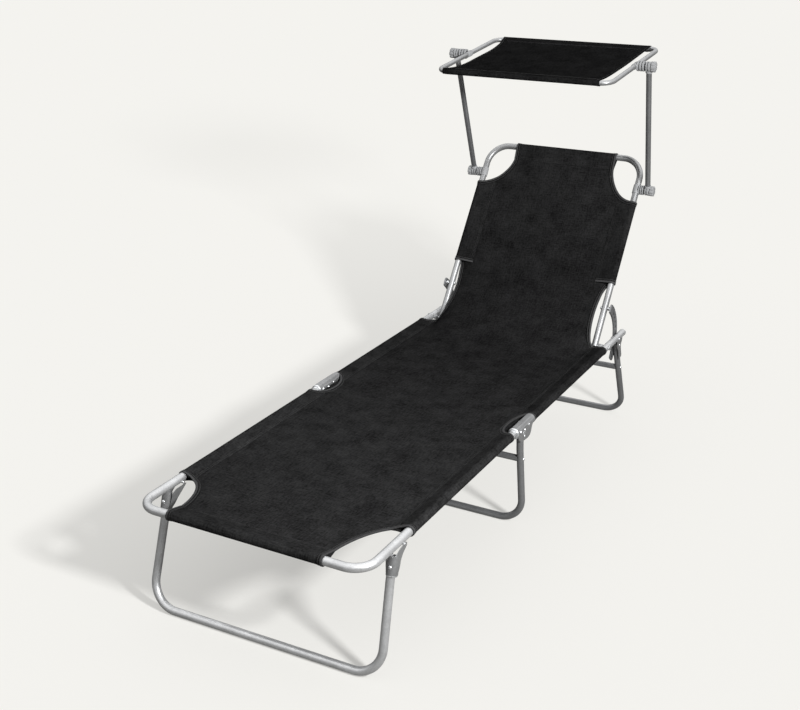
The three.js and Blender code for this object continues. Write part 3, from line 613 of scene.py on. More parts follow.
def finish(name):
    """The finish of that name, made once from the colour settings."""
    if name not in finishes:
        colours = bpy.context.scene.lounger_colours
        made = {
            "steel": lambda: coated_steel(colours.steel),
            "zinc": lambda: zinc_plate(colours.zinc),
            "plate": lambda: coated_steel(colours.plate, "pressed_plate"),
            "plastic": lambda: moulded_plastic(colours.plastic),
            # painted shade: the plastic darkened for the cores that show in the clamp and knob
            # grooves
            "shaded groove": lambda: moulded_plastic(shade(colours.plastic, 0.22), "shaded_groove_plastic"),
            # painted shade: the tube coat at 0.62 for the backrest tube and canopy bows
            "shaded mid steel": lambda: coated_steel(shade(colours.steel, 0.62), "shaded_mid_steel"),
            # painted shade: the tube coat darkened for the shaded legs, struts and arms
            "shaded dark steel": lambda: coated_steel(colours.shaded_leg_steel, "shaded_dark_steel"),
            "cloth": lambda: woven_cloth(colours.cloth, "woven_cloth", BED_PAINTED_LIGHT),
            "binding": lambda: sewn_binding(colours.cloth),
            # painted shade: the canopy's cloth at 0.54 of the bed cloth's black
            "shaded roof cloth": lambda: woven_cloth(colours.cloth, "shaded_roof_cloth", ROOF_PAINTED_SHADE),
            # painted shade: the thread darkened to 0.35 of the cloth so the stitch grooves read
            # dark
            "thread": lambda: sewing_thread(shade(colours.cloth, 0.35)),
        }[name]
        finishes[name] = made()
    return finishes[name]


# ---------------------------------------------------------------- tubes


def leg_path(top, floor_y, spread, radius, top_x=RAIL_X, skew=0.0):
    """A leg's route: down from its top, out to its spread, and round the floor bar's corners. Its
    right foot may stand a little further back than its left, by the skew."""
    top = np.array([top_x, *top])
    slope = unit(np.array([0.0, floor_y - top[1], radius - top[2]]))
    right = [top, top + LEG_STRAIGHT * slope, (spread, floor_y, radius)]
    left = [(-p[0], p[1], p[2]) for p in right[::-1]]
    right[2] = (spread, floor_y + skew, radius)
    return rounded([*right, *left], (150, 60, 60, 150), 14), np.cross(slope, (1, 0, 0))


def cross_tube(top, floor_y, spread, z, radius=8.0):
    """A straight tube between a leg's sides, coped: each end stops on the leg's round wall, at
    leg x - sqrt(leg radius^2 - across^2)."""
    floor_z, leg_r = mm("leg_radius"), mm("leg_radius") + 0.15
    height = top[1] - floor_z
    slope = unit(np.array([0.0, floor_y - top[0], -height]))
    share = (top[1] - z) / height
    y = top[0] + (floor_y - top[0]) * share
    out = np.clip((share * height - LEG_STRAIGHT) / (height - LEG_STRAIGHT), 0, 1)
    leg_x = RAIL_X + (spread - RAIL_X) * out
    t = np.linspace(0, 2 * math.pi, 32, endpoint=False)
    ring = radius * np.column_stack([np.cos(t), np.sin(t)])
    across = ring @ np.array([slope[2], -slope[1]])
    reach = leg_x - np.sqrt(leg_r ** 2 - np.clip(across, -leg_r, leg_r) ** 2)
    rows = [np.column_stack([way * reach, y + ring[:, 0], z + ring[:, 1]]) for way in (-1, 1)]
    return capped(np.stack(rows)), (leg_x, y, z)


def bent_loop(x, start, far, radius, steps):
    """A tube's U: from its left end, round its far corners, to its right end."""
    return rounded([(-x, *start), (-x, *far), (x, *far), (x, *start)], radius, steps)


class LOUNGER_OT_tubes(bpy.types.Operator):
    """Bed, leg, backrest and canopy tubes as smooth round tubes"""

    bl_idname = "lounger.tubes"
    bl_label = "Tubes"

    def execute(self, context):
        # mid and dark are darker copies of the tube coat: painted shade
        steel, mid, dark = (finish(name) for name in ("steel", "shaded mid steel", "shaded dark steel"))
        flat, gap = (0, 0, 1), 0.3

        def pipe(name, path, radius, up, coat, body, node, **shape):
            make(name, [tube(path, radius, up, **shape)], coat, body, [node])

        foot = bent_loop(RAIL_X, (HINGE_Y - gap, RAIL_Z), (0, RAIL_Z), 47, 20)
        pipe("foot_tube", foot, mm("tube_radius"), flat, steel, "foot_frame", "foot_frame_tube")
        for side, way, _turn in reversed(SIDES):
            rail = [(way * RAIL_X, y, RAIL_Z) for y in (HINGE_Y + gap, RAIL_END)]
            pipe(f"{side}_rail", rail, mm("tube_radius"), flat, steel, "seat_frame",
                 f"{side}_seat_rail")
            low, high = (end * (way, 1, 1) for end in ARM_ENDS)
            inward = 5 * unit(high - low)
            # painted shade: the arms take the darker copy of the tube coat
            pipe(f"{side}_arm", [low + inward, high - inward], mm("arm_radius"), (1, 0, 0), dark,
                 "canopy_arms", f"{side}_canopy_arm")
        back = bent_loop(BACK_X, on_back(-14), on_back(BACK_LENGTH), 60, 18)
        # painted shade: the backrest tube takes the shaded copy of the tube coat
        pipe("back_tube", back, mm("back_radius"), BACK_UP, mid, "backrest", "backrest_tube")

        for name, top, floor_y, spread, cross in (
            ("front_leg", FRONT_LEG_TOP[1:], FRONT_FOOT[1], FRONT_FOOT[0], None),
            ("middle_leg", (HINGE_Y, PIN_Z + 9.3), 749.6, 279.0, 184.5),
            ("rear_leg", (REAR_PIN_Y, PIN_Z + 9.3), REAR_FOOT_Y, 279.0, 170.5),
        ):
            # painted shade: the middle and rear legs take the darker copy of the tube coat, the
            # front leg keeps the tube coat
            leg, coat, end = mm("leg_radius"), dark, "dome"
            offset = ()
            if not cross:
                leg, coat, end = mm("front_leg_radius"), steel, "open"
                offset = (FRONT_LEG_TOP[0], 8.0)
            path, up = leg_path(top, floor_y, spread, leg, *offset)
            pipe(f"{name}_bar", path, leg, up, coat, name, f"{name}_tube", ends=(end, end))
            if cross:
                part, (leg_x, y, z) = cross_tube((top[0], PIN_Z), floor_y, spread, cross)
                node = name.replace("leg", "cross_tube")
                make(f"{name}_cross_bar", [part], dark, name, [node])
                head = turned(dome_profile(leg_x + leg - 0.5, 3.6, 4.0), (0, y, z), sides=20)
                heads = [head, mirrored(head)]
                make(f"{name}_cross_bolts", heads, finish("zinc"), name)
        for name, way in (("front", -1), ("back", 1)):
            bow = bent_loop(CANOPY_X, on_canopy(way * gap), on_canopy(way * CANOPY_HALF),
                            CANOPY_CORNER, 14)
            # painted shade: the canopy bows take the shaded copy of the tube coat
            pipe(f"{name}_bow", bow, mm("thin_radius"), CANOPY_UP, mid, "canopy",
                 f"{name}_canopy_bow", sides=28)
        return {"FINISHED"}


# ---------------------------------------------------------------- cloth


# Lengths where the cloth ends over the top bar, where its top sleeve is sewn, where it leaves
# the rails' cut-outs for the backrest's, and where the backrest's sleeves start
TOP_S = PIVOT_Y + BACK_LENGTH
TOP_EDGE = TOP_S - TOP_SEAM
LOW_BACK = PIVOT_Y + 102.0
BACK_START = PIVOT_Y + 184.0

# Cut-outs of each side: middle and half length along the bed, depth in from the side tube, and
# the two powers of the curve (length share)^p + (depth share)^q = 1
KNEE = (729.0, 61.0, 31.0, 2.0, 2.0)
CUTS = {
    "right": {"foot": (FOOT_SEAM, 135.0, 89.3, 1.35, 2.15), "pivot": (LOW_BACK, 131.0, 56.0, 2, 2),
              "low back": (LOW_BACK, 82.0, 22.5, 2, 2), "top": (TOP_EDGE, 92.4, 82.3, 1.5, 2)},
    "left": {"foot": (FOOT_SEAM, 110.0, 82.0, 1.8, 2.4), "pivot": (LOW_BACK, 158.0, 52.0, 2, 2),
             "low back": (LOW_BACK, 82.0, 18.5, 2, 2), "top": (TOP_EDGE, 85.4, 84.6, 1.65, 1.6)},
}


def cloth_round(tube_radius):
    """Radius at which the cloth's middle runs round a tube of that setting."""
    return mm(tube_radius) + CLOTH_GAP + mm("cloth_thickness") / 2


def cut_depth(cut, s):
    """Depth of a cut-out at each length: deep * (1 - (|s - middle| / half)^p)^(1 / q)."""
    middle, half, deep, p, q = cut
    share = np.clip(np.abs(s - middle) / half, 0, 1)
    return deep * (1 - share ** p) ** (1 / q)


def cut_line(cut, way, inset):
    """Length where a cut-out's edge crosses each inset:
    middle + way * half * (1 - (inset / deep)^q)^(1 / p)."""
    middle, half, deep, p, q = cut
    return middle + way * half * np.clip(1 - np.clip(inset / deep, 0, 1) ** q, 0, 1) ** (1 / p)


def half_width(s, side):
    """Half width of the panel at each length: full to the side tubes where it is sleeved, narrower
    beside the knee brackets, and cut away round the corners and the backrest pivot."""
    s, cut = np.asarray(s, float), CUTS[side]
    beside_knee = 13.4 * smooth_step(KNEE[1] - np.abs(s - KNEE[0]), 0.0, 5.0)
    depth = np.select(
        [s < 400, s < 900, s < LOW_BACK, s < BACK_START],
        [cut_depth(cut["foot"], np.maximum(s, FOOT_SEAM)), beside_knee,
         cut_depth(cut["pivot"], s), cut_depth(cut["low back"], s)],
        cut_depth(cut["top"], np.minimum(s, TOP_EDGE)))
    return np.where(s < LOW_BACK, RAIL_X, BACK_X) - depth


def length_steps():
    """Lengths where the cloth has rows: close together on cut-outs, evenly spaced elsewhere."""
    quarter = np.sin(np.linspace(0, math.pi / 2, 19))
    knee = np.array([0.0, 1.2, 2.5, 3.8, 5.0])
    parts = [np.linspace(0, FOOT_SEAM, 9), np.linspace(182, 668, 34), 668 + knee,
             np.linspace(673, 785, 10), 785 + knee, np.linspace(790, 1270, 34),
             np.linspace(BACK_START, 1755, 17), LOW_BACK + 82 * quarter,
             np.linspace(TOP_EDGE, TOP_S, 9), [SHEET_SPLIT]]
    for cut in CUTS.values():
        parts += [FOOT_SEAM + cut["foot"][1] * quarter, LOW_BACK - cut["pivot"][1] * quarter,
                  TOP_EDGE - cut["top"][1] * quarter]
    return np.unique(np.round(np.concatenate(parts) * 2) / 2)


def cloth_line(s, x):
    """(y, z) of the cloth before it sags: level along the seat, leant back along the backrest,
    and between them the curve (1-u)^2 P0 + 2u(1-u) P1 + u^2 P2, widest at the middle."""
    reach = 18 + 190 * (1 - np.minimum(np.abs(x) / 241, 1) ** 8)
    climb = 172 + 45 * (1 - np.minimum(np.abs(x) / 200, 1) ** 2)
    u = np.clip((s - (PIVOT_Y - reach)) / (reach + climb), 0, 1)
    end_y, end_z = on_back(climb)
    y = (1 - u) ** 2 * (PIVOT_Y - reach) + 2 * u * (1 - u) * PIVOT_Y + u ** 2 * end_y
    z = (1 - u ** 2) * RAIL_Z + u ** 2 * end_z
    back_y, back_z = on_back(s - PIVOT_Y)
    return (np.where(u <= 0, s, np.where(u >= 1, back_y, y)),
            np.where(u <= 0, RAIL_Z, np.where(u >= 1, back_z, z)))


def smooth_step(value, low, high):
    t = np.clip((value - low) / (high - low), 0, 1)
    return t * t * (3 - 2 * t)


def sleeve_drop(distance, seam, r):
    """How far one layer of a sleeve lies off the tube's centre plane: a straight from the seam
    to the tube, sin a = r / seam, then the tube's own round."""
    slope = math.asin(r / seam)
    straight = (seam - distance) * math.tan(slope)
    round_part = np.sqrt(np.clip(r ** 2 - distance ** 2, 0, None))
    return np.where(distance < r * math.sin(slope), round_part, np.clip(straight, 0, None))


def cloth_point(s, x):
    """Place of the cloth by its length and width: the line, lowered by its sag and ripples, and
    where it is sleeved led under the side tubes and end bars."""
    s, x = np.broadcast_arrays(np.asarray(s, float), np.asarray(x, float))
    r, far = cloth_round("tube_radius"), np.abs(x)
    (y0, z0), (y, z), (y1, z1) = (cloth_line(s + step, x) for step in (-0.5, 0, 0.5))
    length = np.hypot(y1 - y0, z1 - z0)
    ny, nz = -(z1 - z0) / length, (y1 - y0) / length
    by_knee = smooth_step(KNEE[1] + 4 - np.abs(s - KNEE[0]), 0.0, 14.0)
    on_rail = (1 - smooth_step(s, 1322, 1350)) * (1 - 0.8 * by_knee)
    seat_drop = sleeve_drop(RAIL_X - far, SEAT_SEAM, r) * on_rail
    back_drop = sleeve_drop(BACK_X - far, BACK_SEAM, r) * smooth_step(s, PIVOT_Y + 150, BACK_START)
    end_drop = sleeve_drop(s, FOOT_SEAM, r) + sleeve_drop(TOP_S - s, TOP_SEAM, r)
    drop = np.where(s < 1400, seat_drop, back_drop) + end_drop
    span = np.where(s < 1330, RAIL_X - SEAT_SEAM, BACK_X - BACK_SEAM)
    inside = np.clip(1 - (far / span) ** 2, 0, 1)
    on_seat = smooth_step(s, 40, 260) * (1 - 0.75 * smooth_step(s, 1180, 1330))
    sag = mm("seat_sag") * inside * on_seat * (1 - smooth_step(s, TOP_S - 220, TOP_S - 40))
    ripple = (0.55 * np.sin(s / 61 + x / 97) * np.sin(x / 43 - s / 151)
              + 0.4 * np.sin(s / 29 - x / 71))
    loose = inside * smooth_step(s, 40, 120) * (1 - smooth_step(s, TOP_S - 120, TOP_S - 40))
    off = -drop - sag + ripple * loose
    return stacked(x, y + off * ny, z + off * nz)


def cloth_normal(s, x):
    """Unit normal of the cloth, up and toward the sitter: the cross of its two tangents."""
    return unit(np.cross(cloth_point(s, x + 0.5) - cloth_point(s, x - 0.5),
                         cloth_point(s + 0.5, x) - cloth_point(s - 0.5, x)))


# Distances of the cloth's outer columns from its edge
EDGE_STEPS = np.array([0, 3, 6, 9, 12, 16, 20, 24, 28, 31, 33, 35, 38, 42, 45, 47, 50, 56.0])


def width_steps(s):
    """Widths where the cloth has columns: fixed distances from each edge, even in between."""
    right, left = (half_width(s, side)[:, None] - EDGE_STEPS for side in ("right", "left"))
    share = np.linspace(0, 1, 27)[None, 1:-1]
    middle = -left[:, -1:] + (right[:, -1:] + left[:, -1:]) * share
    return np.concatenate([-left, middle, right[:, ::-1]], 1)


class Sleeve:
    """Outer layer of a sleeve: from under its tube, round the outer side and over the top, then
    straight to the seam. Places are by length along the tube and run round it: origin +
    length * along + out(run) * out + up(run) * up."""

    TOP_ROW = 16

    def __init__(self, origin, along, out, up, seam, flow_at):
        self.origin, self.along = np.array(origin, float), np.array(along, float)
        self.out, self.up = np.array(out, float), np.array(up, float)
        self.seam, self.flow_at = seam, flow_at
        r, quarter = cloth_round("tube_radius"), math.pi / 2
        slope = math.asin(r / seam)
        top_inset, top_rise = r * math.sin(slope), r * math.cos(slope)
        a = np.concatenate([np.linspace(-quarter, quarter, self.TOP_ROW + 1),
                            np.linspace(quarter, quarter + slope, 4)[1:]])
        inset = np.append((seam - 2.0) * np.sin(np.linspace(0, quarter, 15)), seam)
        inset = inset[inset > top_inset + 0.5]
        share = (inset - top_inset) / (seam - top_inset)
        rise = top_rise + (mm("cloth_thickness") - top_rise) * share
        self.loop = np.vstack([r * np.column_stack([np.cos(a), np.sin(a)]),
                               np.column_stack([-inset, rise])])
        self.loop[0, 0] = 0.0
        self.run = run_along(self.loop)
        self.inset = np.clip(-self.loop[:, 0], 0, None)

    def on(self, table, run):
        return np.interp(run, self.run, table)[..., None]

    def at(self, length, run):
        """Place at that length and run."""
        length, run = np.broadcast_arrays(np.asarray(length, float), np.asarray(run, float))
        out, up = (self.on(self.loop[:, i], run) for i in (0, 1))
        return self.origin + length[..., None] * self.along + out * self.out + up * self.up

    def facing(self, length, run):
        """Unit normal there: the loop's own slope turned a quarter outward."""
        _length, run = np.broadcast_arrays(length, np.asarray(run, float))
        slope = np.gradient(self.loop, self.run, axis=0)
        return unit(self.on(slope[:, 1], run) * self.out - self.on(slope[:, 0], run) * self.up)

    def run_at(self, inset):
        """Run of the place on top at that distance in from the tube's centre."""
        return np.interp(inset, self.inset[self.TOP_ROW:], self.run[self.TOP_ROW:])

    def layer(self, first, last):
        """The layer as a grid between a first and last length for each of its columns. The cloth
        gathers a little toward its ends."""
        t = (1 - np.cos(np.linspace(0, math.pi, 41)))[:, None] / 2
        length = first[None] + (last - first)[None] * t
        points = self.at(length, self.run[None])
        ends = np.minimum(length - first[None], last[None] - length)
        loose = np.sin(self.run * 0.62) * (self.inset < self.seam - 1)
        gather = 0.3 * np.exp(-ends / 12) * loose[None]
        points = points + gather[..., None] * self.facing(length, self.run[None])
        return surface(points, uv=stacked(self.flow_at + self.run[None], length))


def sleeves(side):
    """One side's three sleeves with the lengths that bound them, as on the right side."""
    rail = Sleeve((RAIL_X, 0, RAIL_Z), (0, 1, 0), (1, 0, 0), (0, 0, 1), SEAT_SEAM, RAIL_X)
    back = Sleeve((BACK_X, *on_back(-PIVOT_Y)), BACK_WAY, (1, 0, 0), BACK_UP, BACK_SEAM, BACK_X)

    def edge(cut, way):
        return lambda inset: cut_line(cut, way, inset)

    cut = CUTS[side]
    return ((rail, edge(cut["foot"], 1), edge(KNEE, -1)),
            (rail, edge(KNEE, 1), edge(cut["pivot"], -1)),
            (back, lambda inset: np.full_like(inset, BACK_START), edge(cut["top"], -1)))


def bar_sleeve(low):
    """The end bar's sleeve: the foot bar's, or the backrest's top bar's."""
    if low < 1:
        return Sleeve((0, 0, RAIL_Z), (1, 0, 0), (0, -1, 0), (0, 0, 1), FOOT_SEAM, 0.0)
    return Sleeve((0, *on_back(BACK_LENGTH)), (1, 0, 0), BACK_WAY, BACK_UP, TOP_SEAM, TOP_S)


def cloth_parts(low, high):
    """The cloth between two lengths: its panel, its side sleeves and an end bar's sleeve."""
    s = length_steps()
    s = s[(s >= low - 1e-6) & (s <= high + 1e-6)]
    x = width_steps(s)
    length = np.broadcast_to(s[:, None], x.shape)
    parts = [surface(cloth_point(length, x), uv=np.stack([x, length], -1))]
    for side, _way, turn in SIDES:
        for sleeve, start, stop in sleeves(side):
            first = np.maximum(start(sleeve.inset), low)
            last = np.minimum(stop(sleeve.inset), high)
            if (last - first).max() > 1:
                parts.append(turn(sleeve.layer(first, last)))
    bar, start, way = bar_sleeve(low), *((0.0, -1) if low < 1 else (TOP_S, 1))
    across = width_steps(np.array([start]))[0]
    flow = stacked(across[None], (start + way * bar.run)[:, None])
    parts.append(surface(bar.at(across[None], bar.run[:, None]), uv=flow))
    return parts


def cut_edges(name, side):
    """Each bound edge of a side, as on the right, as places and normals: round a tube, over its
    sleeve's outer layer along the cut-out, on across the panel, and round the end bar."""
    cut, table = CUTS[side], sleeves(side)
    rail, back, bar = table[0][0], table[2][0], bar_sleeve(0 if name == "front" else 1)
    quarter, tube_top = math.pi / 2, rail.run_at(0.0)

    def layer(sleeve, length, run):
        return sleeve.at(length, run), sleeve.facing(length, run)

    def panel(s, x):
        return cloth_point(s, x) + 0.5 * cloth_normal(s, x - 1.5), cloth_normal(s, x - 1.5)

    def round_tube(length, sleeve=rail):
        run = np.linspace(0, tube_top, 18)
        return layer(sleeve, np.full_like(run, length), run)

    def round_bar(half):
        return layer(bar, np.full(24, half), np.linspace(bar.run[-1] - 2, 0, 24))

    def on_cut(shape, way, a):
        middle, half, deep, p, q = shape
        length = np.sign(np.cos(a)) * np.abs(np.cos(a)) ** (2 / p)
        return middle - way * half * length, deep * np.sin(a) ** (2 / q)

    def corner(sleeve, shape, way, tube_x):
        turn = math.asin((sleeve.seam / shape[2]) ** (shape[4] / 2))
        s, inset = on_cut(shape, way, np.linspace(0, turn, 16)[1:])
        over = layer(sleeve, s, sleeve.run_at(inset))
        s, inset = on_cut(shape, way, np.linspace(turn, quarter, 28)[1:])
        start = round_tube(shape[0] - way * shape[1], sleeve)
        return [start, over, panel(s, tube_x - inset)]

    if name == "front":
        middle, half = KNEE[:2]
        s, inset = on_cut(KNEE, 1, np.linspace(0, math.pi, 50)[1:])
        knee = [round_tube(middle - half), layer(rail, s, rail.run_at(np.clip(inset, 0, None))),
                [part[-2::-1] for part in round_tube(middle + half)]]
        foot = [*corner(rail, cut["foot"], -1, RAIL_X), round_bar(RAIL_X - cut["foot"][2])]
        chains = [foot, knee]
    else:
        middle, half, deep = cut["low back"][:3]
        a = np.linspace(0, quarter, 24)[1:]
        climb = panel(middle + half * np.sin(a), BACK_X - deep * np.cos(a))
        strap = layer(back, np.full(44, BACK_START), np.linspace(0, back.run[-1], 44))
        head = [*corner(back, cut["top"], 1, BACK_X), round_bar(BACK_X - cut["top"][2])]
        chains = [[*corner(rail, cut["pivot"], 1, RAIL_X), climb], [strap], head]
    return [tuple(np.concatenate([link[i] for link in chain]) for i in (0, 1)) for chain in chains]


def binding(path, up):
    """A bound hem carried along an edge: a round rim, then a flat strip with two sewn grooves.
    Also says which way is inward, onto the cloth."""
    inward = unit(np.cross(headings(path), up))
    if (inward[len(path) // 2] @ np.array([-1.0, 0.35, 0.1])) < 0:
        inward = -inward
    w = mm("binding_width")
    profile = np.vstack([arc((0.4, 0.4), 1.4, 230, 70, 7), HEM_STRIP * (w / HEM_STRIP[-1, 0], 1),
                         [(w, -0.2), (w - 1.0, -0.55)]])[::-1]
    points, faces, _flow = carried(profile, path, inward, up)
    run = np.pad(run_along(path), 1, mode="edge")
    return (points, faces, stacked(profile[None, :, 0], run[:, None]).reshape(-1, 2)), inward


# Height of a hem's top by distance from its edge, with the grooves of both rows of stitches
HEM_STRIP = np.array([(3.2, 1.9), (4.8, 1.8), (5.6, 0.8), (7.8, 0.7), (8.3, 1.3), (9.4, 1.25),
                      (9.9, 0.7), (11.6, 0.7), (12.0, 0.8)])
HEM_ROWS = (0.55, 0.87)


def stitches(path, up):
    """Stitches along a path: each is a short round thread that rises from the cloth and dips
    back into it, centre + length * u + height * (1 - u^2), swept by five sides."""
    pitch, step = mm("stitch_pitch"), run_along(path)
    where = np.arange(pitch / 2, step[-1], pitch)

    def there(values):
        return np.stack([np.interp(where, step, values[:, i]) for i in range(3)], -1)

    centre, lift, along = there(path), unit(there(up)), unit(there(headings(path)))
    side = np.cross(along, lift)
    u = np.array([-1, -0.8, 0, 0.8, 1])
    radius = np.array([0, 0.3, 0.36, 0.3, 0])
    t = np.linspace(0, 2 * math.pi, 5, endpoint=False)[None, :, None]
    spine = (centre[:, None] + along[:, None] * (u * pitch * 0.36)[None, :, None]
             + lift[:, None] * (0.2 * (1 - u ** 2))[None, :, None])
    spokes = np.cos(t) * side[:, None] + np.sin(t) * lift[:, None]
    points = spine[:, :, None] + radius[None, :, None, None] * spokes[:, None]
    first = (np.arange(len(where)) * 25)[:, None, None]
    faces = (grid_faces(5, 5, close_cols=True)[None] + first).reshape(-1, 4)
    return points.reshape(-1, 3), faces.tolist(), None


def seam_lines(low, high):
    """The two rows of stitches on each sleeve, on the outer layer beside the seam."""
    rows, bar, half = [], bar_sleeve(low), 170.0 if low < 1 else 140.0

    def row(sleeve, lengths, inset):
        run = np.full_like(lengths, sleeve.run_at(inset))
        up = sleeve.facing(lengths, run)
        return stitches(sleeve.at(lengths, run) + 0.6 * up, up)

    for side, _way, turn in SIDES:
        for sleeve, start, stop in sleeves(side):
            for from_seam in SEAM_ROWS:
                inset = np.array(sleeve.seam - from_seam)
                first, last = max(float(start(inset)) + 11, low), min(float(stop(inset)) - 11, high)
                if last - first > 20:
                    rows.append(turn(row(sleeve, np.linspace(first, last, 60), inset)))
    return rows + [row(bar, np.linspace(-half, half, 40), bar.seam - from_seam)
                   for from_seam in SEAM_ROWS]


# Distances from a seam of its two rows of stitches
SEAM_ROWS = (2.2, 6.4)


KNEE_BEND = ("foot_frame", "seat_frame", (0.0, 700.0, RAIL_Z), (0.0, 760.0, RAIL_Z))
BACK_BEND = ("seat_frame", "backrest", (0.0, 1250.0, RAIL_Z), (0.0, *on_back(70.0)))


def bend(piece):
    """Bakes a piece's placing into its mesh."""
    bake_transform(piece)


class LOUNGER_OT_cloth(bpy.types.Operator):
    """The stretched cloth of the bed and backrest, its hems and its stitches"""

    bl_idname = "lounger.cloth"
    bl_label = "Cloth"

    def execute(self, context):
        halves = (
            ("front", 0.0, SHEET_SPLIT, KNEE_BEND, ["foot_cloth", "seat_cloth"], "foot_tube"),
            ("back", SHEET_SPLIT, TOP_S, BACK_BEND, ["back_cloth"], "back_tube"),
        )
        for name, low, high, between, nodes, end_tube in halves:
            parts = cloth_parts(low, high)
            sheet = make(f"{name}_sheet", parts, finish("cloth"), None, nodes, smooth=70)
            thicken(sheet, mm("cloth_thickness"))
            hems, rows = [], []
            for side, _way, turn in SIDES:
                for path, up in cut_edges(name, side):
                    hem, inward = binding(path, up)
                    hems.append(turn(hem))
                    for share in HEM_ROWS:
                        line = path + inward * (share * mm("binding_width")) + up * 0.9
                        rows.append(turn(stitches(line, up)))
            rows += seam_lines(low, high)
            hem = make(f"{name}_hems", hems, finish("binding"), smooth=50)
            seams = make(f"{name}_stitches", rows, finish("thread"), smooth=60)
            for piece in (sheet, hem, seams):
                bend(piece)
        return {"FINISHED"}


def canopy_run(run, x):
    """Run of the cloth where the bars bend at their corners, r wide: it follows them back by
    r - sqrt(r^2 - past^2), past being how far x is into the corner."""
    r = CANOPY_CORNER
    past = np.clip(np.abs(x) - (CANOPY_X - r), 0, r - 1)
    return run * (1 - (r - np.sqrt(r ** 2 - past ** 2)) / CANOPY_HALF)


def canopy_point(run, x, lift=0.0):
    """Place of the canopy cloth: level over both bars, lowered between them by its sag."""
    share = np.clip(1 - (run / CANOPY_HALF) ** 4, 0, 1)
    hang = (mm("canopy_sag") - 0.35 * np.sin(run / 31 + x / 57)) * share
    return stacked(x, *on_canopy(canopy_run(run, x), cloth_round("thin_radius") + lift - hang))


def canopy_edge(run, way):
    """Side edge of the canopy cloth: way * (224 - 10 * (1 - (run / half)^4)), slid a little to
    the left on the front bar."""
    waist = 10.0 * (1 - (run / CANOPY_HALF) ** 4)
    return way * (224.0 - waist) - 5.0 * smooth_step(-run, 60, CANOPY_HALF)


class LOUNGER_OT_canopy(bpy.types.Operator):
    """The canopy cloth, its side hems and its stitches"""

    bl_idname = "lounger.canopy"
    bl_label = "Canopy cloth"

    def execute(self, context):
        r, quarter = cloth_round("thin_radius"), math.pi / 2
        run = CANOPY_HALF * np.sin(np.linspace(-quarter, quarter, 47))
        edge = np.array([0.94, 0.965, 0.985, 1])
        across = np.concatenate([-edge[::-1], np.linspace(-0.9, 0.9, 31), edge])
        left, right = (canopy_edge(run, way)[:, None] for way in (-1, 1))
        x = (left + right) / 2 + (right - left) / 2 * across[None]
        flow_run = np.broadcast_to(run[:, None], x.shape)
        parts = [surface(canopy_point(flow_run, x), uv=np.stack([x, flow_run], -1))]
        # the loop of (along, up) that takes the cloth round a bar and back under itself
        a = np.linspace(quarter, -quarter - 0.45, 18)
        loop = r * np.column_stack([np.cos(a), np.sin(a)])
        under_sag = mm("canopy_sag") * (1 - ((CANOPY_HALF - 30) / CANOPY_HALF) ** 4)
        under = np.array([-30.0, r - 3.4 - under_sag])
        loop = np.vstack([loop, loop[-1] + np.linspace(0, 1, 7)[1:, None] * (under - loop[-1])])
        for way, x_end in ((-1, x[0]), (1, x[-1])):
            along = canopy_run(way * (CANOPY_HALF + loop[:, :1]), x_end[None])
            place = on_canopy(along, loop[:, 1:])
            flow = stacked(x_end[None], (way * (CANOPY_HALF + run_along(loop)))[:, None])
            parts.append(surface(stacked(x_end[None], *place), uv=flow))
        # painted shade: the canopy cloth and its hems take the shaded copy of the cloth
        sheet = make("canopy_sheet", parts, finish("shaded roof cloth"), "canopy", ["canopy_cloth"],
                     smooth=70)
        thicken(sheet, mm("cloth_thickness"))

        hems, rows = [], []
        run = CANOPY_HALF * np.sin(np.linspace(-quarter, quarter, 60))
        turn = loop[1:20]
        profile = np.vstack([arc((0.2, 0.1), 1.0, 90, 270, 8), arc((7.0, 0.0), 0.75, -90, 90, 4)])
        for side in (-1, 1):
            ends = []
            for way in (-1, 1):
                x_end = canopy_edge(np.array([way * CANOPY_HALF]), side)
                place = on_canopy(canopy_run(way * (CANOPY_HALF + turn[:, 0]), x_end), turn[:, 1])
                up = turn[:, :1] * way * CANOPY_WAY + turn[:, 1:] * CANOPY_UP
                ends.append((stacked(x_end, *place), up))
            (front, front_up), (back, back_up) = ends
            flat = canopy_point(run, canopy_edge(run, side))
            path = np.concatenate([front[::-1], flat, back])
            flat_up = np.broadcast_to(CANOPY_UP, flat.shape)
            up = unit(np.concatenate([front_up[::-1], flat_up, back_up]))
            inward = unit(np.cross(headings(path), up))
            inward = inward * (-1 if inward[len(path) // 2, 0] * side > 0 else 1)
            hems.append(carried(profile, path, inward, up))
            rows.append(stitches(path + inward * 5.4 + up * 0.95, up))
        x_row = np.linspace(-205, 205, 40)
        for way in (-1, 1):
            for inset in (24.5, 28.5):
                lift = mm("cloth_thickness") / 2 + 0.05
                line = canopy_point(np.full_like(x_row, way * (CANOPY_HALF - inset)), x_row, lift)
                rows.append(stitches(line, np.broadcast_to(CANOPY_UP, line.shape)))
        hem = make("canopy_hems", hems, finish("shaded roof cloth"), "canopy", smooth=60)
        seams = make("canopy_stitches", rows, finish("thread"), "canopy", smooth=60)
        return {"FINISHED"}


# ---------------------------------------------------------------- fittings


def dome_profile(base, radius, height, steps=7):
    """A domed head: (base + height * sin t, radius * cos t), closed on its axis."""
    t = np.linspace(0, math.pi / 2, steps)
    top = np.column_stack([base + height * np.sin(t), radius * np.cos(t)])
    return np.vstack([[base - 0.4, 0], [base - 0.4, radius], top])


def headed_profile(half, shank, radius, height):
    """A pin with a domed head on each end, along its axis from one end to the other."""
    t = np.linspace(0, math.pi / 2, 7)
    right = np.column_stack([half + height * np.sin(t), radius * np.cos(t)])
    left = right[::-1] * (-1, 1)
    return np.vstack([left, [[-half, shank], [half, shank]], right])


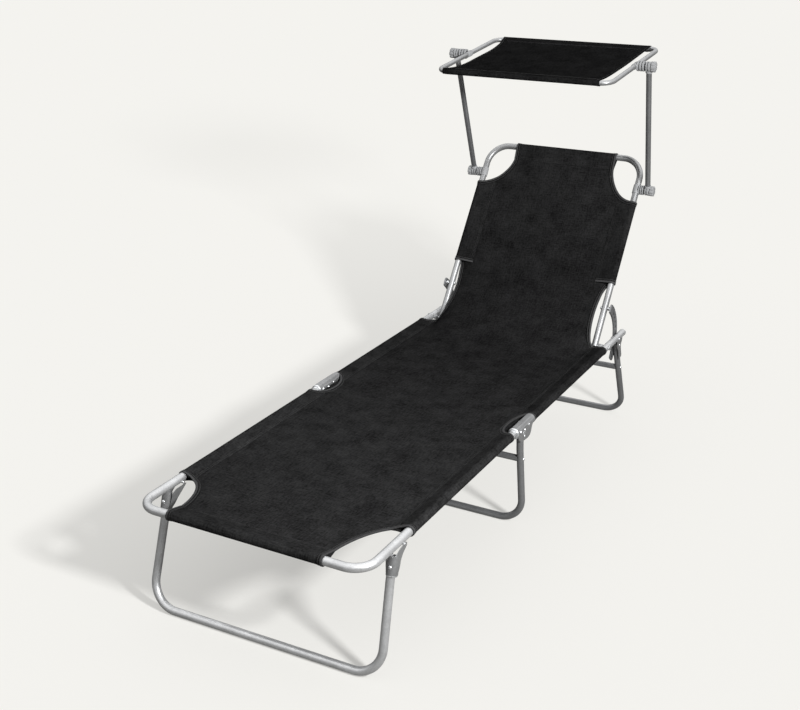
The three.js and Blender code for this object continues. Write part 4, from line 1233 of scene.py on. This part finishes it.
def ridges(degrees, places, width):
    """Bumps of height 1 across a pressed sheet: the sum of exp(-((degrees - place) / width)^2)."""
    return sum(np.exp(-(((degrees - place) / width) ** 2)) for place in places)


def saddle(lengths, low, radius):
    """A pressed sheet over a rail: up one cheek, round x + r cos t, z + r sin t, down the other."""
    t = np.linspace(0, math.pi, 45)
    degrees = np.degrees(t)
    ends = np.clip(np.minimum(lengths - lengths[0], lengths[-1] - lengths) / 7 - 0.5, 0, 1)[:, None]
    grooves = ridges(degrees, (90,), 9.0) + ridges(degrees, (36, 144), 7.0)
    r = radius + ends * (0.9 * ridges(degrees, (62, 118), 7.0) - 0.7 * grooves)[None]
    floor_z = np.minimum(low, RAIL_Z - 0.01)[:, None]
    cheek = floor_z + (RAIL_Z - floor_z) * np.linspace(0, 1, 9)[None, :]
    z = np.concatenate([cheek[:, :-1], RAIL_Z + r * np.sin(t), cheek[:, ::-1][:, 1:]], 1)
    side = np.full((len(lengths), 8), radius)
    across = np.concatenate([side, r * np.cos(t), -side], 1)
    return surface(stacked(RAIL_X + across, lengths[:, None], z))


# Lower edge of a knee bracket's cheeks: places along the bed and their heights
CHEEK_Y = (690, 691, 694, 699, 706, 716, 731, 747, 758, 764, 768, 770, 774, 782, 790.0)
CHEEK_Z = (266, 260, 253, 248.5, 244, 240.2, 239, 237.4, 239, 242, 248, 256, 263.5, 266.5, 267.0)

# Domed pins of each side: piece, node, body, half length, radii of shank and head, height of
# the head, y, z
PINS = (
    ("bracket_rivet_dome", "bracket_rivet", "seat_frame", 12.9, 2.6, 3.4, 1.9, 753.0, RAIL_Z + 2),
    ("hinge_pin_dome", "hinge_pin", "seat_frame", 12.9, 3, 3.6, 2.0, HINGE_Y - 1.5, PIN_Z + 1.5),
    ("rear_rivet_dome", "rear_bracket_rivet", "seat_frame", 11.6, 3, 4.2, 2.2, 1406.0, RAIL_Z),
    ("rear_pin_dome", "rear_leg_pin", "seat_frame", 11.6, 4, 4.6, 2.3, REAR_PIN_Y, PIN_Z),
    ("front_pin_dome", "front_leg_pin", "foot_frame", 12.0, 2.5, 3.4, 1.2, 137.0, RAIL_Z - 6),
)


def knee_bracket(side, turn):
    """The folded bracket over a rail."""
    fine = np.linspace(CHEEK_Y[0], CHEEK_Y[-1], 61)
    low = np.pad(np.interp(fine, CHEEK_Y, CHEEK_Z), 2, mode="edge")
    shell = saddle(fine, np.convolve(low, np.ones(5) / 5, mode="valid"), 12.3)
    piece = make(f"{side}_knee_bracket", [turn(shell)], finish("plate"), "seat_frame",
                 [f"{side}_hinge_bracket"])
    thicken(piece, 1.5)
    soften(piece, 0.5)


def knee_studs(side, way):
    """Dimples on both cheeks, the ring on the outer one, and the rolled front ring."""
    x = way * RAIL_X
    studs = [turned(dome_profile(s * 12.9, 4.0, s * 3.0), (x, y, z), sides=20)
             for y, z in ((704.5, 269.0), (728.0, 266.0)) for s in (-1, 1)]
    loop = np.array([(12.4, 3.4), (13.2, 3.4), (13.6, 4.0), (13.6, 5.2), (13.0, 5.8), (12.4, 5.8)])
    rim = [(-2.6, 10.9), (-2.6, 12.6), (-1.6, 13.6), (0.8, 13.6), (1.6, 12.8), (1.6, 10.9)]
    studs += [turned(loop * (way, 1), (x, 724.0, 259.0), sides=24, closed=True),
              turned(rim, (x, 692.0, RAIL_Z), axis=(0, 1, 0), sides=40, closed=True)]
    make(f"{side}_bracket_studs", studs, finish("zinc"), "seat_frame")


def front_channel(side, turn):
    """A half pipe round the front leg's top, two cheeks that reach the rail, and its rivet."""
    top = np.array(FRONT_LEG_TOP)
    lean = unit((top - (*FRONT_FOOT, 9.5))[1:])
    start = top[1:] + lean * 16
    x, reach = top[0] + 1.2, 10.9

    def leg_at(up, ahead):
        return start[0] + up * lean[0] - ahead * lean[1], start[1] + up * lean[1] + ahead * lean[0]

    t = np.linspace(0, math.pi, 19)
    y, z = leg_at(np.linspace(-16, -55, 6)[:, None], reach * np.sin(t)[None])
    pipe = surface(stacked(x + reach * np.cos(t)[None], y, z))
    lip = [(0, 9.6), (0, reach + 0.7), (0.9, reach + 0.9), (1.8, reach + 0.7), (1.8, 9.6)]
    lips = turned(lip, (x + 0.2, *leg_at(-56.4, 0)), axis=(0.03, *lean), sides=36, closed=True)
    outline = [leg_at(-16, 4), (112, 258.5), (134, 265.0), (141, 265.5), (146, 262.0), (146, 256.0),
               (131, 246.0), (118, 235.5), (110, 225.0), leg_at(-50, -7.5), leg_at(-55, -7),
               leg_at(-55, 2)]
    inner = [(y, min(z, 257.6)) for y, z in outline]
    cheeks = [slab(rounded_outline(inner, 2.0, 3), x - reach - 0.6, x - reach + 0.7),
              slab(rounded_outline(outline, 2.0, 3), x + reach - 0.7, x + reach + 0.6)]
    for points, _faces, _flow in cheeks:
        # the cheeks lean in from the leg's width to the rail's
        points[:, 0] -= 5.7 * np.clip((points[:, 2] - 213) / 30, -0.3, 1)
    piece = make(f"{side}_channel", [turn(pipe)], finish("plate"), "front_leg",
                 [f"{side}_front_leg_channel"])
    thicken(piece, 1.3)
    piece = make(f"{side}_channel_cheeks", [turn(part) for part in cheeks], finish("plate"),
                 "front_leg")
    soften(piece, 0.4)
    head = turned(dome_profile(0.0, 3.8, 2.2), (x, *leg_at(-38, reach + 0.4)),
                  axis=(0, -lean[1], lean[0]), up=(1, 0, 0), sides=20)
    make(f"{side}_channel_rivet", [turn(head), turn(lips)], finish("zinc"), "front_leg")


def rear_holder(side, x):
    """The rear leg's bracket: two cheeks on the rail and a web behind the leg."""
    slope = unit(np.array([REAR_FOOT_Y - REAR_PIN_Y, 9.2 - PIN_Z]))

    def rear_at(down, behind):
        return (REAR_PIN_Y + down * slope[0] - behind * slope[1],
                PIN_Z + down * slope[1] + behind * slope[0])

    cheek = [(1391, PIN_Z + 19), (1394, PIN_Z - 2), rear_at(14, -10.2), rear_at(45, -9.8),
             rear_at(45, 9.6), rear_at(20, 9.8), rear_at(6, 11.0), (1431, PIN_Z + 10),
             (1433, PIN_Z + 19)]
    web = [rear_at(12, 8.8), rear_at(12, 10.1), rear_at(45, 10.1), rear_at(45, 8.8)]
    parts = [slab(rounded_outline(cheek, 4.0, 4), x + a, x + b)
             for a, b in ((-11.3, -9.8), (9.8, 11.3))]
    piece = make(f"{side}_rear_holder", [*parts, slab(web, x - 9.9, x + 9.9)], finish("plate"),
                 "seat_frame", [f"{side}_rear_bracket"])
    soften(piece, 0.4)


class LOUNGER_OT_brackets(bpy.types.Operator):
    """Knee hinge brackets, front leg channels, rear leg brackets, their rivets, and rail caps"""

    bl_idname = "lounger.brackets"
    bl_label = "Brackets and rivets"

    def execute(self, context):
        zinc = finish("zinc")
        cap = [(0, 0), (0, 8.4), (14.3, 8.4), (14.3, 9.7), (15.4, 9.6), (17.0, 8.6), (18.0, 6.4),
               (18.4, 3.2), (17.6, 1.8), (17.4, 0)]
        for side, way, turn in reversed(SIDES):
            x = way * RAIL_X
            knee_bracket(side, turn)
            for name, node, body, half, shank, head, height, y, z in PINS:
                pin = turned(headed_profile(half, shank, head, height), (x, y, z), sides=24)
                make(f"{side}_{name}", [pin], zinc, body, [f"{side}_{node}"])
            knee_studs(side, way)
            front_channel(side, turn)
            rear_holder(side, x)
            plug = turned(cap, (x, RAIL_END - 14, RAIL_Z), axis=(0, 1, 0), sides=32)
            make(f"{side}_rail_plug", [plug], finish("plastic"), "seat_frame",
                 [f"{side}_rail_cap"])
            for name in ("hinge_liner", "liner_rivet", "stop_pin"):
                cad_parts[f"{side}_{name}"].material_slots[0].material = zinc
        return {"FINISHED"}


def rounded_outline(corners, radius, steps):
    """A closed outline whose corners are cut by curves: (1-u)^2 P0 + 2u(1-u) P1 + u^2 P2."""
    corners = np.asarray(corners, float)

    def cut(toward):
        length = np.linalg.norm(toward - corners, axis=1, keepdims=True)
        return corners + (toward - corners) / length * np.minimum(radius, length * 0.45)

    cut0, cut1 = cut(np.roll(corners, 1, 0)), cut(np.roll(corners, -1, 0))
    u = np.linspace(0, 1, steps + 1)[None, :, None]
    points = ((1 - u) ** 2 * cut0[:, None] + 2 * u * (1 - u) * corners[:, None]
              + u ** 2 * cut1[:, None])
    return points.reshape(-1, 2)


# Across the bed, and round the backrest's pivot from its lower to its upper end
STRUT_X = (256.0, 260.4)
STRUT_IN, STRUT_OUT = 97.6, 123.0
SLOT_ENDS = (-34.2, 48.6)


def curved_bar(inner, outer, steps):
    """A flat bar round the backrest's pivot, along the slot. Its radii may change along it."""
    a = np.linspace(*SLOT_ENDS, steps)
    low, high = (np.broadcast_to(r, a.shape) for r in (inner, outer))
    a, (x0, x1) = np.radians(a), STRUT_X
    rows = [np.stack([np.full_like(a, x), PIVOT_Y + r * np.cos(a), RAIL_Z + r * np.sin(a)], -1)
            for x, r in ((x0, low), (x1, low), (x1, high), (x0, high))]
    return capped(np.stack(rows, 1))


def strut_end(root, tip, way):
    """The solid, rounded end of a strut beyond its slot."""
    arcs = ((STRUT_IN, root, tip - way * 2.2, 4), (100.5, tip - way * 0.6, tip - way * 0.2, 1),
            (108.8, tip, tip + way * 0.01, 1), (120.0, tip - way * 0.2, tip - way * 0.6, 1),
            (STRUT_OUT, tip - way * 2.2, root, 4))
    return slab(np.vstack([arc((PIVOT_Y, RAIL_Z), *shape) for shape in arcs]), *STRUT_X)


class LOUNGER_OT_struts(bpy.types.Operator):
    """The two slotted, toothed struts that hold the backrest, and their bolts"""

    bl_idname = "lounger.struts"
    bl_label = "Struts"

    def execute(self, context):
        wave = np.abs((np.linspace(*SLOT_ENDS, 260) / 9.0) % 1.0 - 0.5)
        teeth = 105.6 + 6.0 * np.clip((wave - 0.17) / 0.1, 0, 1)
        strut = [curved_bar(STRUT_IN, teeth, 260), curved_bar(112.4, STRUT_OUT, 40),
                 strut_end(-33.8, -38.5, -1), strut_end(48.2, 58.5, 1)]
        rivet = [(-12.6, 0), (-12.4, 2.2), (-11.8, 3.9), (-10.8, 4.9), (-9.0, 5.2), (-9.0, 3.5),
                 (9.8, 3.5), (9.8, 5.6), (13.2, 5.6), (13.2, 3.5), (16.9, 3.5), (16.9, 6.0),
                 (17.8, 5.8), (18.8, 4.2), (19.2, 0)]
        bolt = [(-16.2, 0), (-16.2, 6.2), (-15.4, 7.0), (-13.0, 7.0), (-13.0, 4.0), (43.3, 4.0),
                (43.3, 7.0), (44.3, 6.8), (45.7, 5.0), (46.3, 0)]
        spacer = [(9.9, 4.1), (9.9, 6.0), (11.0, 6.8), (22.4, 6.8), (23.6, 6.0), (23.6, 4.1)]
        pivot = (PIVOT_Y, RAIL_Z)
        for side, way, turn in reversed(SIDES):
            # painted shade: the struts take the darker copy of the tube coat
            piece = make(f"{side}_notched_strut", [turn(part) for part in strut],
                         finish("shaded dark steel"), f"{side}_strut", [f"{side}_strut"])
            soften(piece, 0.35)
            for name, profile, place, sides, coat, body, node in (
                ("strut_rivet", rivet, on_back(STRUT_R), 24, "zinc", "backrest", "strut_bolt"),
                ("pivot_bolt", bolt, pivot, 24, "zinc", "seat_frame", "back_bolt"),
                ("pivot_spacer", spacer, pivot, 28, "plastic", "seat_frame", None),
            ):
                part = turned(np.array(profile) * (way, 1), (way * BACK_X, *place), sides=sides,
                              closed=profile is spacer)
                make(f"{side}_{name}", [part], finish(coat), body,
                     [f"{side}_{node}"] if node else ())
        return {"FINISHED"}


def hoop(start, stop, inner, outer):
    """Profile of a ring with rounded outer edges."""
    edge = ((0, -0.7), (0.25, -0.2), (0.8, 0))
    return np.array([(start, inner), *((start + a, outer + b) for a, b in edge),
                     *((stop - a, outer + b) for a, b in edge[::-1]), (stop, inner)])


def notches(count, depth, width):
    """Scale of a lobed rim: 1 - depth * exp(-(q / width)^2), q the share of a lobe from its
    notch."""
    def scale(t):
        q = np.abs((t * count / (2 * math.pi)) % 1 - 0.5)
        return 1 - depth * np.exp(-((q / width) ** 2))

    return scale


class LOUNGER_OT_clamps(bpy.types.Operator):
    """Clamps, arm fittings and lobed knobs of the canopy arms"""

    bl_idname = "lounger.clamps"
    bl_label = "Clamps and knobs"

    def execute(self, context):
        low, high = ARM_ENDS
        arm = unit(high - low)
        for level, centre, tube_x, r, way, half, body, arm_way in (
            ("lower", low, BACK_X, mm("back_radius"), BACK_WAY, 13.0, "backrest", arm),
            ("upper", high, CANOPY_X, mm("thin_radius"), CANOPY_WAY, 14.0, "canopy", -arm),
        ):
            def ring(start, stop, inner, outer, at=centre, sides=44, **shape):
                profile = hoop(start, stop, inner, outer)
                return turned(profile, at, sides=sides, closed=True, **shape)

            def drum(start, stop, radius, at=centre, far=None, sides=36):
                rim = (stop, radius if far is None else far)
                return turned([(start, 0), (start, radius), rim, (stop, 0)], at, sides=sides)

            # on the tube: a collar round it and grooved rings that reach out to the fitting
            middle = np.array([tube_x, *centre[1:]])
            face = centre[0] - 9.3 - tube_x
            pitch = (face + 1.5 - r) / 3
            rings_out = [ring(r - 1.0 + i * pitch, r - 3.5 + (i + 1) * pitch, 5.0, 13.6, middle)
                         for i in range(3)]
            collar = ring(-half, half, r + 0.15, r + 1.7, middle, 40, axis=way, up=(1, 0, 0))
            # painted shade: the core shows between the rings in a darker plastic
            clamp_core = drum(r - 1.0, face - 0.5, 9.6, middle)
            # at the arm's end: two rings, and a socket round the arm
            reach = mm("arm_radius")
            socket = [(9.0, reach + 0.2), (9.0, reach + 2.0), (15.6, reach + 2.0),
                      (17.0, reach + 1.4), (17.4, reach + 0.2)]
            sleeve = turned(socket, centre, axis=arm_way, up=(1, 0, 0), sides=32, closed=True)
            fitting = [ring(-6.4, -3.0, 5.0, 13.4), ring(-0.6, 5.6, 5.0, 13.4), sleeve]
            lobed = ring(7.6, 18.0, 4.0, 14.2, sides=96, lobes=notches(7, 0.2, 0.13))
            cap = turned([(16.4, 0), (16.4, 7.6), (17.8, 7.0), (18.6, 4.4), (18.8, 0)], centre)
            # painted shade: the knob's core, a darker plastic between its lobes
            knob_core = drum(7.8, 16.8, 10.4, far=10.2, sides=32)

            def dress(side, turn, name, parts, coat, rides, node):
                make(f"{side}_{level}_{name}", [turn(part) for part in parts], finish(coat), rides,
                     [f"{side}_{level}_{node}"] if node else ())

            for row in (("tube_clamp", [collar, *rings_out], "plastic", body, "clamp"),
                        ("clamp_core", [clamp_core], "shaded groove", body, None),
                        ("arm_fitting", fitting, "plastic", "canopy_arms", "fitting"),
                        ("fitting_core", [drum(-9.0, 7.4, 10.2)], "shaded groove", "canopy_arms", None)):
                for side, _way, turn in SIDES:
                    dress(side, turn, *row)
            for side, _way, turn in reversed(SIDES):
                knob = f"{side}_{level}_knob"
                dress(side, turn, "hand_knob", [lobed, cap], "plastic", knob, "knob")
                dress(side, turn, "knob_core", [knob_core], "shaded groove", knob, None)
        return {"FINISHED"}


# ---------------------------------------------------------------- studio


LAMP = np.array([2.15, -1.25, 1.73])
LAMP_TARGET = np.array([0.0, 0.0, 0.35])
FLOOR_HALF, FLOOR_DROP = 60.0, -0.0002

# The photo's camera: place, turn, dip and roll in degrees, focal length over picture width
EYE = np.array([1.2648, -1.6712, 1.4721])
EYE_TURN = (28.733, 21.528, -0.101)
FOCAL_LENGTH = 1201.83 / 800


def even_floor(colour, room, power, depth):
    """Pale floor whose own glow makes up for the lamp's fall-off, so it looks even but keeps the
    shadows: glow = 1 - depth * (room + power / pi^2 * cos(lamp) * cos(floor) / distance)."""
    f = Finish("pale_floor")
    f.shader.inputs["Base Color"].default_value = (*shade(colour, 0.38), 1.0)
    f.shader.inputs["Roughness"].default_value = 1.0
    f.shader.inputs["Specular IOR Level"].default_value = 0.0
    facing = unit(LAMP_TARGET - LAMP)

    def vector(operation, *inputs):
        named = {f"_{i}": value for i, value in enumerate(inputs)}
        return f.node("ShaderNodeVectorMath", {"operation": operation}, **named).outputs

    ray = vector("SUBTRACT", f.place(), tuple(LAMP))[0]
    far = vector("LENGTH", ray)["Value"]
    ahead = f.maths("MAXIMUM", vector("DOT_PRODUCT", ray, tuple(facing))["Value"], 0.0)
    cosines = f.maths("MULTIPLY", ahead, float(LAMP[2]) * power / math.pi ** 2)
    lit = f.maths("ADD", f.maths("DIVIDE", cosines, f.maths("POWER", far, 3.0)), room)
    glow = f.maths("MAXIMUM", f.maths("SUBTRACT", 1.0, f.maths("MULTIPLY", lit, depth)), 0.0)
    seen = f.node("ShaderNodeLightPath").outputs["Is Camera Ray"]
    dim = f.node("ShaderNodeBsdfDiffuse", Color=(*shade(colour, depth), 1.0))
    bright = f.node("ShaderNodeEmission", Color=(*colour, 1.0), Strength=glow)
    both, mix = f.node("ShaderNodeAddShader"), f.node("ShaderNodeMixShader", _0=seen)
    for start, end in ((dim.outputs[0], both.inputs[0]), (bright.outputs[0], both.inputs[1]),
                       (f.shader.outputs[0], mix.inputs[1]), (both.outputs[0], mix.inputs[2]),
                       (mix.outputs[0], f.tree.nodes["Material Output"].inputs["Surface"])):
        f.tree.links.new(start, end)
    return f.material


def room_light(colour, strength):
    """Room light: dim at the horizon and bright overhead, strength * (0.35 + 1.3 * height). The
    tubes mirror a large soft box overhead, and the camera sees the floor's own paleness."""
    world = bpy.data.worlds.new("room")
    nodes = Nodes(world)

    def by_height(top, low, high):
        return nodes.node("ShaderNodeMapRange", Value=height, _1=0.0, _2=top, _3=low * strength,
                          _4=high * strength).outputs[0]

    way = nodes.node("ShaderNodeTexCoord").outputs["Generated"]
    height = nodes.node("ShaderNodeSeparateXYZ", Vector=way).outputs["Z"]
    even, soft_box = by_height(1.0, 0.35, 1.65), by_height(0.85, 0.9, 8.0)
    path = nodes.node("ShaderNodeLightPath").outputs
    power = nodes.node("ShaderNodeMix", {"data_type": "FLOAT"}, _0=path["Is Glossy Ray"], _2=even,
                       _3=soft_box)
    room = nodes.node("ShaderNodeBackground", Color=(1.0,) * 4, Strength=power.outputs[0])
    seen = nodes.node("ShaderNodeBackground", Color=(*colour, 1.0), Strength=1.0)
    mix = nodes.node("ShaderNodeMixShader", _0=path["Is Camera Ray"], _1=room.outputs[0],
                     _2=seen.outputs[0])
    nodes.tree.links.new(mix.outputs[0], nodes.tree.nodes["World Output"].inputs["Surface"])
    return world


class LOUNGER_OT_studio(bpy.types.Operator):
    """Floor, room light, key lamp and camera"""

    bl_idname = "lounger.studio"
    bl_label = "Studio"

    def execute(self, context):
        scene, studio = context.scene, context.scene.lounger_studio
        colour = tuple(scene.lounger_colours.floor)
        mesh = bpy.data.meshes.new("floor")
        corners = [(FLOOR_HALF * x, FLOOR_HALF * y, FLOOR_DROP)
                   for x, y in ((-1, -1), (1, -1), (1, 1), (-1, 1))]
        mesh.from_pydata(corners, [], [(0, 1, 2, 3)])
        mesh.materials.append(even_floor(
            colour, studio.world_strength, studio.key_power, studio.shadow_depth))
        floor = bpy.data.objects.new("floor", mesh)
        scene.collection.objects.link(floor)

        scene.world = room_light(colour, studio.world_strength)

        lamp = bpy.data.lights.new("key", "AREA")
        lamp.energy, lamp.size, lamp.shape = studio.key_power, studio.key_size, "DISK"
        lamp.use_nodes = True
        fall = lamp.node_tree.nodes.new("ShaderNodeLightFalloff")
        fall.inputs["Strength"].default_value = 1.0
        glow = lamp.node_tree.nodes["Emission"].inputs["Strength"]
        lamp.node_tree.links.new(fall.outputs["Linear"], glow)
        key = bpy.data.objects.new("key", lamp)
        key.matrix_world = looking(LAMP, LAMP_TARGET)
        scene.collection.objects.link(key)

        camera = bpy.data.cameras.new("camera")
        camera.sensor_width, camera.lens = 36.0, 36.0 * FOCAL_LENGTH
        camera.clip_start, camera.clip_end = 0.05, 200.0
        eye = bpy.data.objects.new("camera", camera)
        turn, dip, roll = (math.radians(a) for a in EYE_TURN)
        level = math.cos(dip)
        forward = np.array([-math.sin(turn) * level, math.cos(turn) * level, -math.sin(dip)])
        right = np.array([math.cos(turn), math.sin(turn), 0.0])
        up = np.cross(right, forward)
        rolled = math.cos(roll) * right + math.sin(roll) * up
        lifted = -math.sin(roll) * right + math.cos(roll) * up
        eye.matrix_world = placing(rolled, lifted, -forward, EYE + (0, BED_START * MM, 0))
        scene.collection.objects.link(eye)
        scene.camera = eye
        scene.view_settings.view_transform = "Standard"
        return {"FINISHED"}


def placing(right, up, back, place):
    """Placing of a lamp or camera by its three axes and its place."""
    columns = np.column_stack([right, up, back, place])
    return Matrix(np.vstack([columns, [0, 0, 0, 1]]).tolist())


def looking(place, target):
    """Placing of a lamp whose minus z points at a target."""
    back = unit(place - target)
    right = unit(np.cross((0, 0, 1), back))
    return placing(right, np.cross(back, right), back, place)


# ---------------------------------------------------------------- add-on


class LOUNGER_PT_panel(bpy.types.Panel):
    """Lists the lounger's settings and steps"""

    bl_idname = "LOUNGER_PT_panel"
    bl_label = "Sun lounger"
    bl_space_type = "VIEW_3D"
    bl_region_type = "UI"
    bl_category = "Lounger"

    def draw(self, context):
        for name in ("lounger_sizes", "lounger_colours", "lounger_studio"):
            group = getattr(context.scene, name)
            box = self.layout.box()
            for key in group.__annotations__:
                box.prop(group, key)
        for step in STEPS:
            self.layout.operator(step.bl_idname)


STEPS = (
    LOUNGER_OT_studio,
    LOUNGER_OT_tubes,
    LOUNGER_OT_cloth,
    LOUNGER_OT_canopy,
    LOUNGER_OT_brackets,
    LOUNGER_OT_struts,
    LOUNGER_OT_clamps,
)
CLASSES = (LoungerSizes, LoungerColours, LoungerStudio, *STEPS, LOUNGER_PT_panel)


def register():
    for cls in CLASSES:
        bpy.utils.register_class(cls)
    bpy.types.Scene.lounger_sizes = bpy.props.PointerProperty(type=LoungerSizes)
    bpy.types.Scene.lounger_colours = bpy.props.PointerProperty(type=LoungerColours)
    bpy.types.Scene.lounger_studio = bpy.props.PointerProperty(type=LoungerStudio)


def unregister():
    for name in ("lounger_studio", "lounger_colours", "lounger_sizes"):
        delattr(bpy.types.Scene, name)
    for cls in reversed(CLASSES):
        bpy.utils.unregister_class(cls)


def main():
    register()
    for step in STEPS:
        group, name = step.bl_idname.split(".")
        getattr(getattr(bpy.ops, group), name)()


if __name__ == "__main__":
    main()
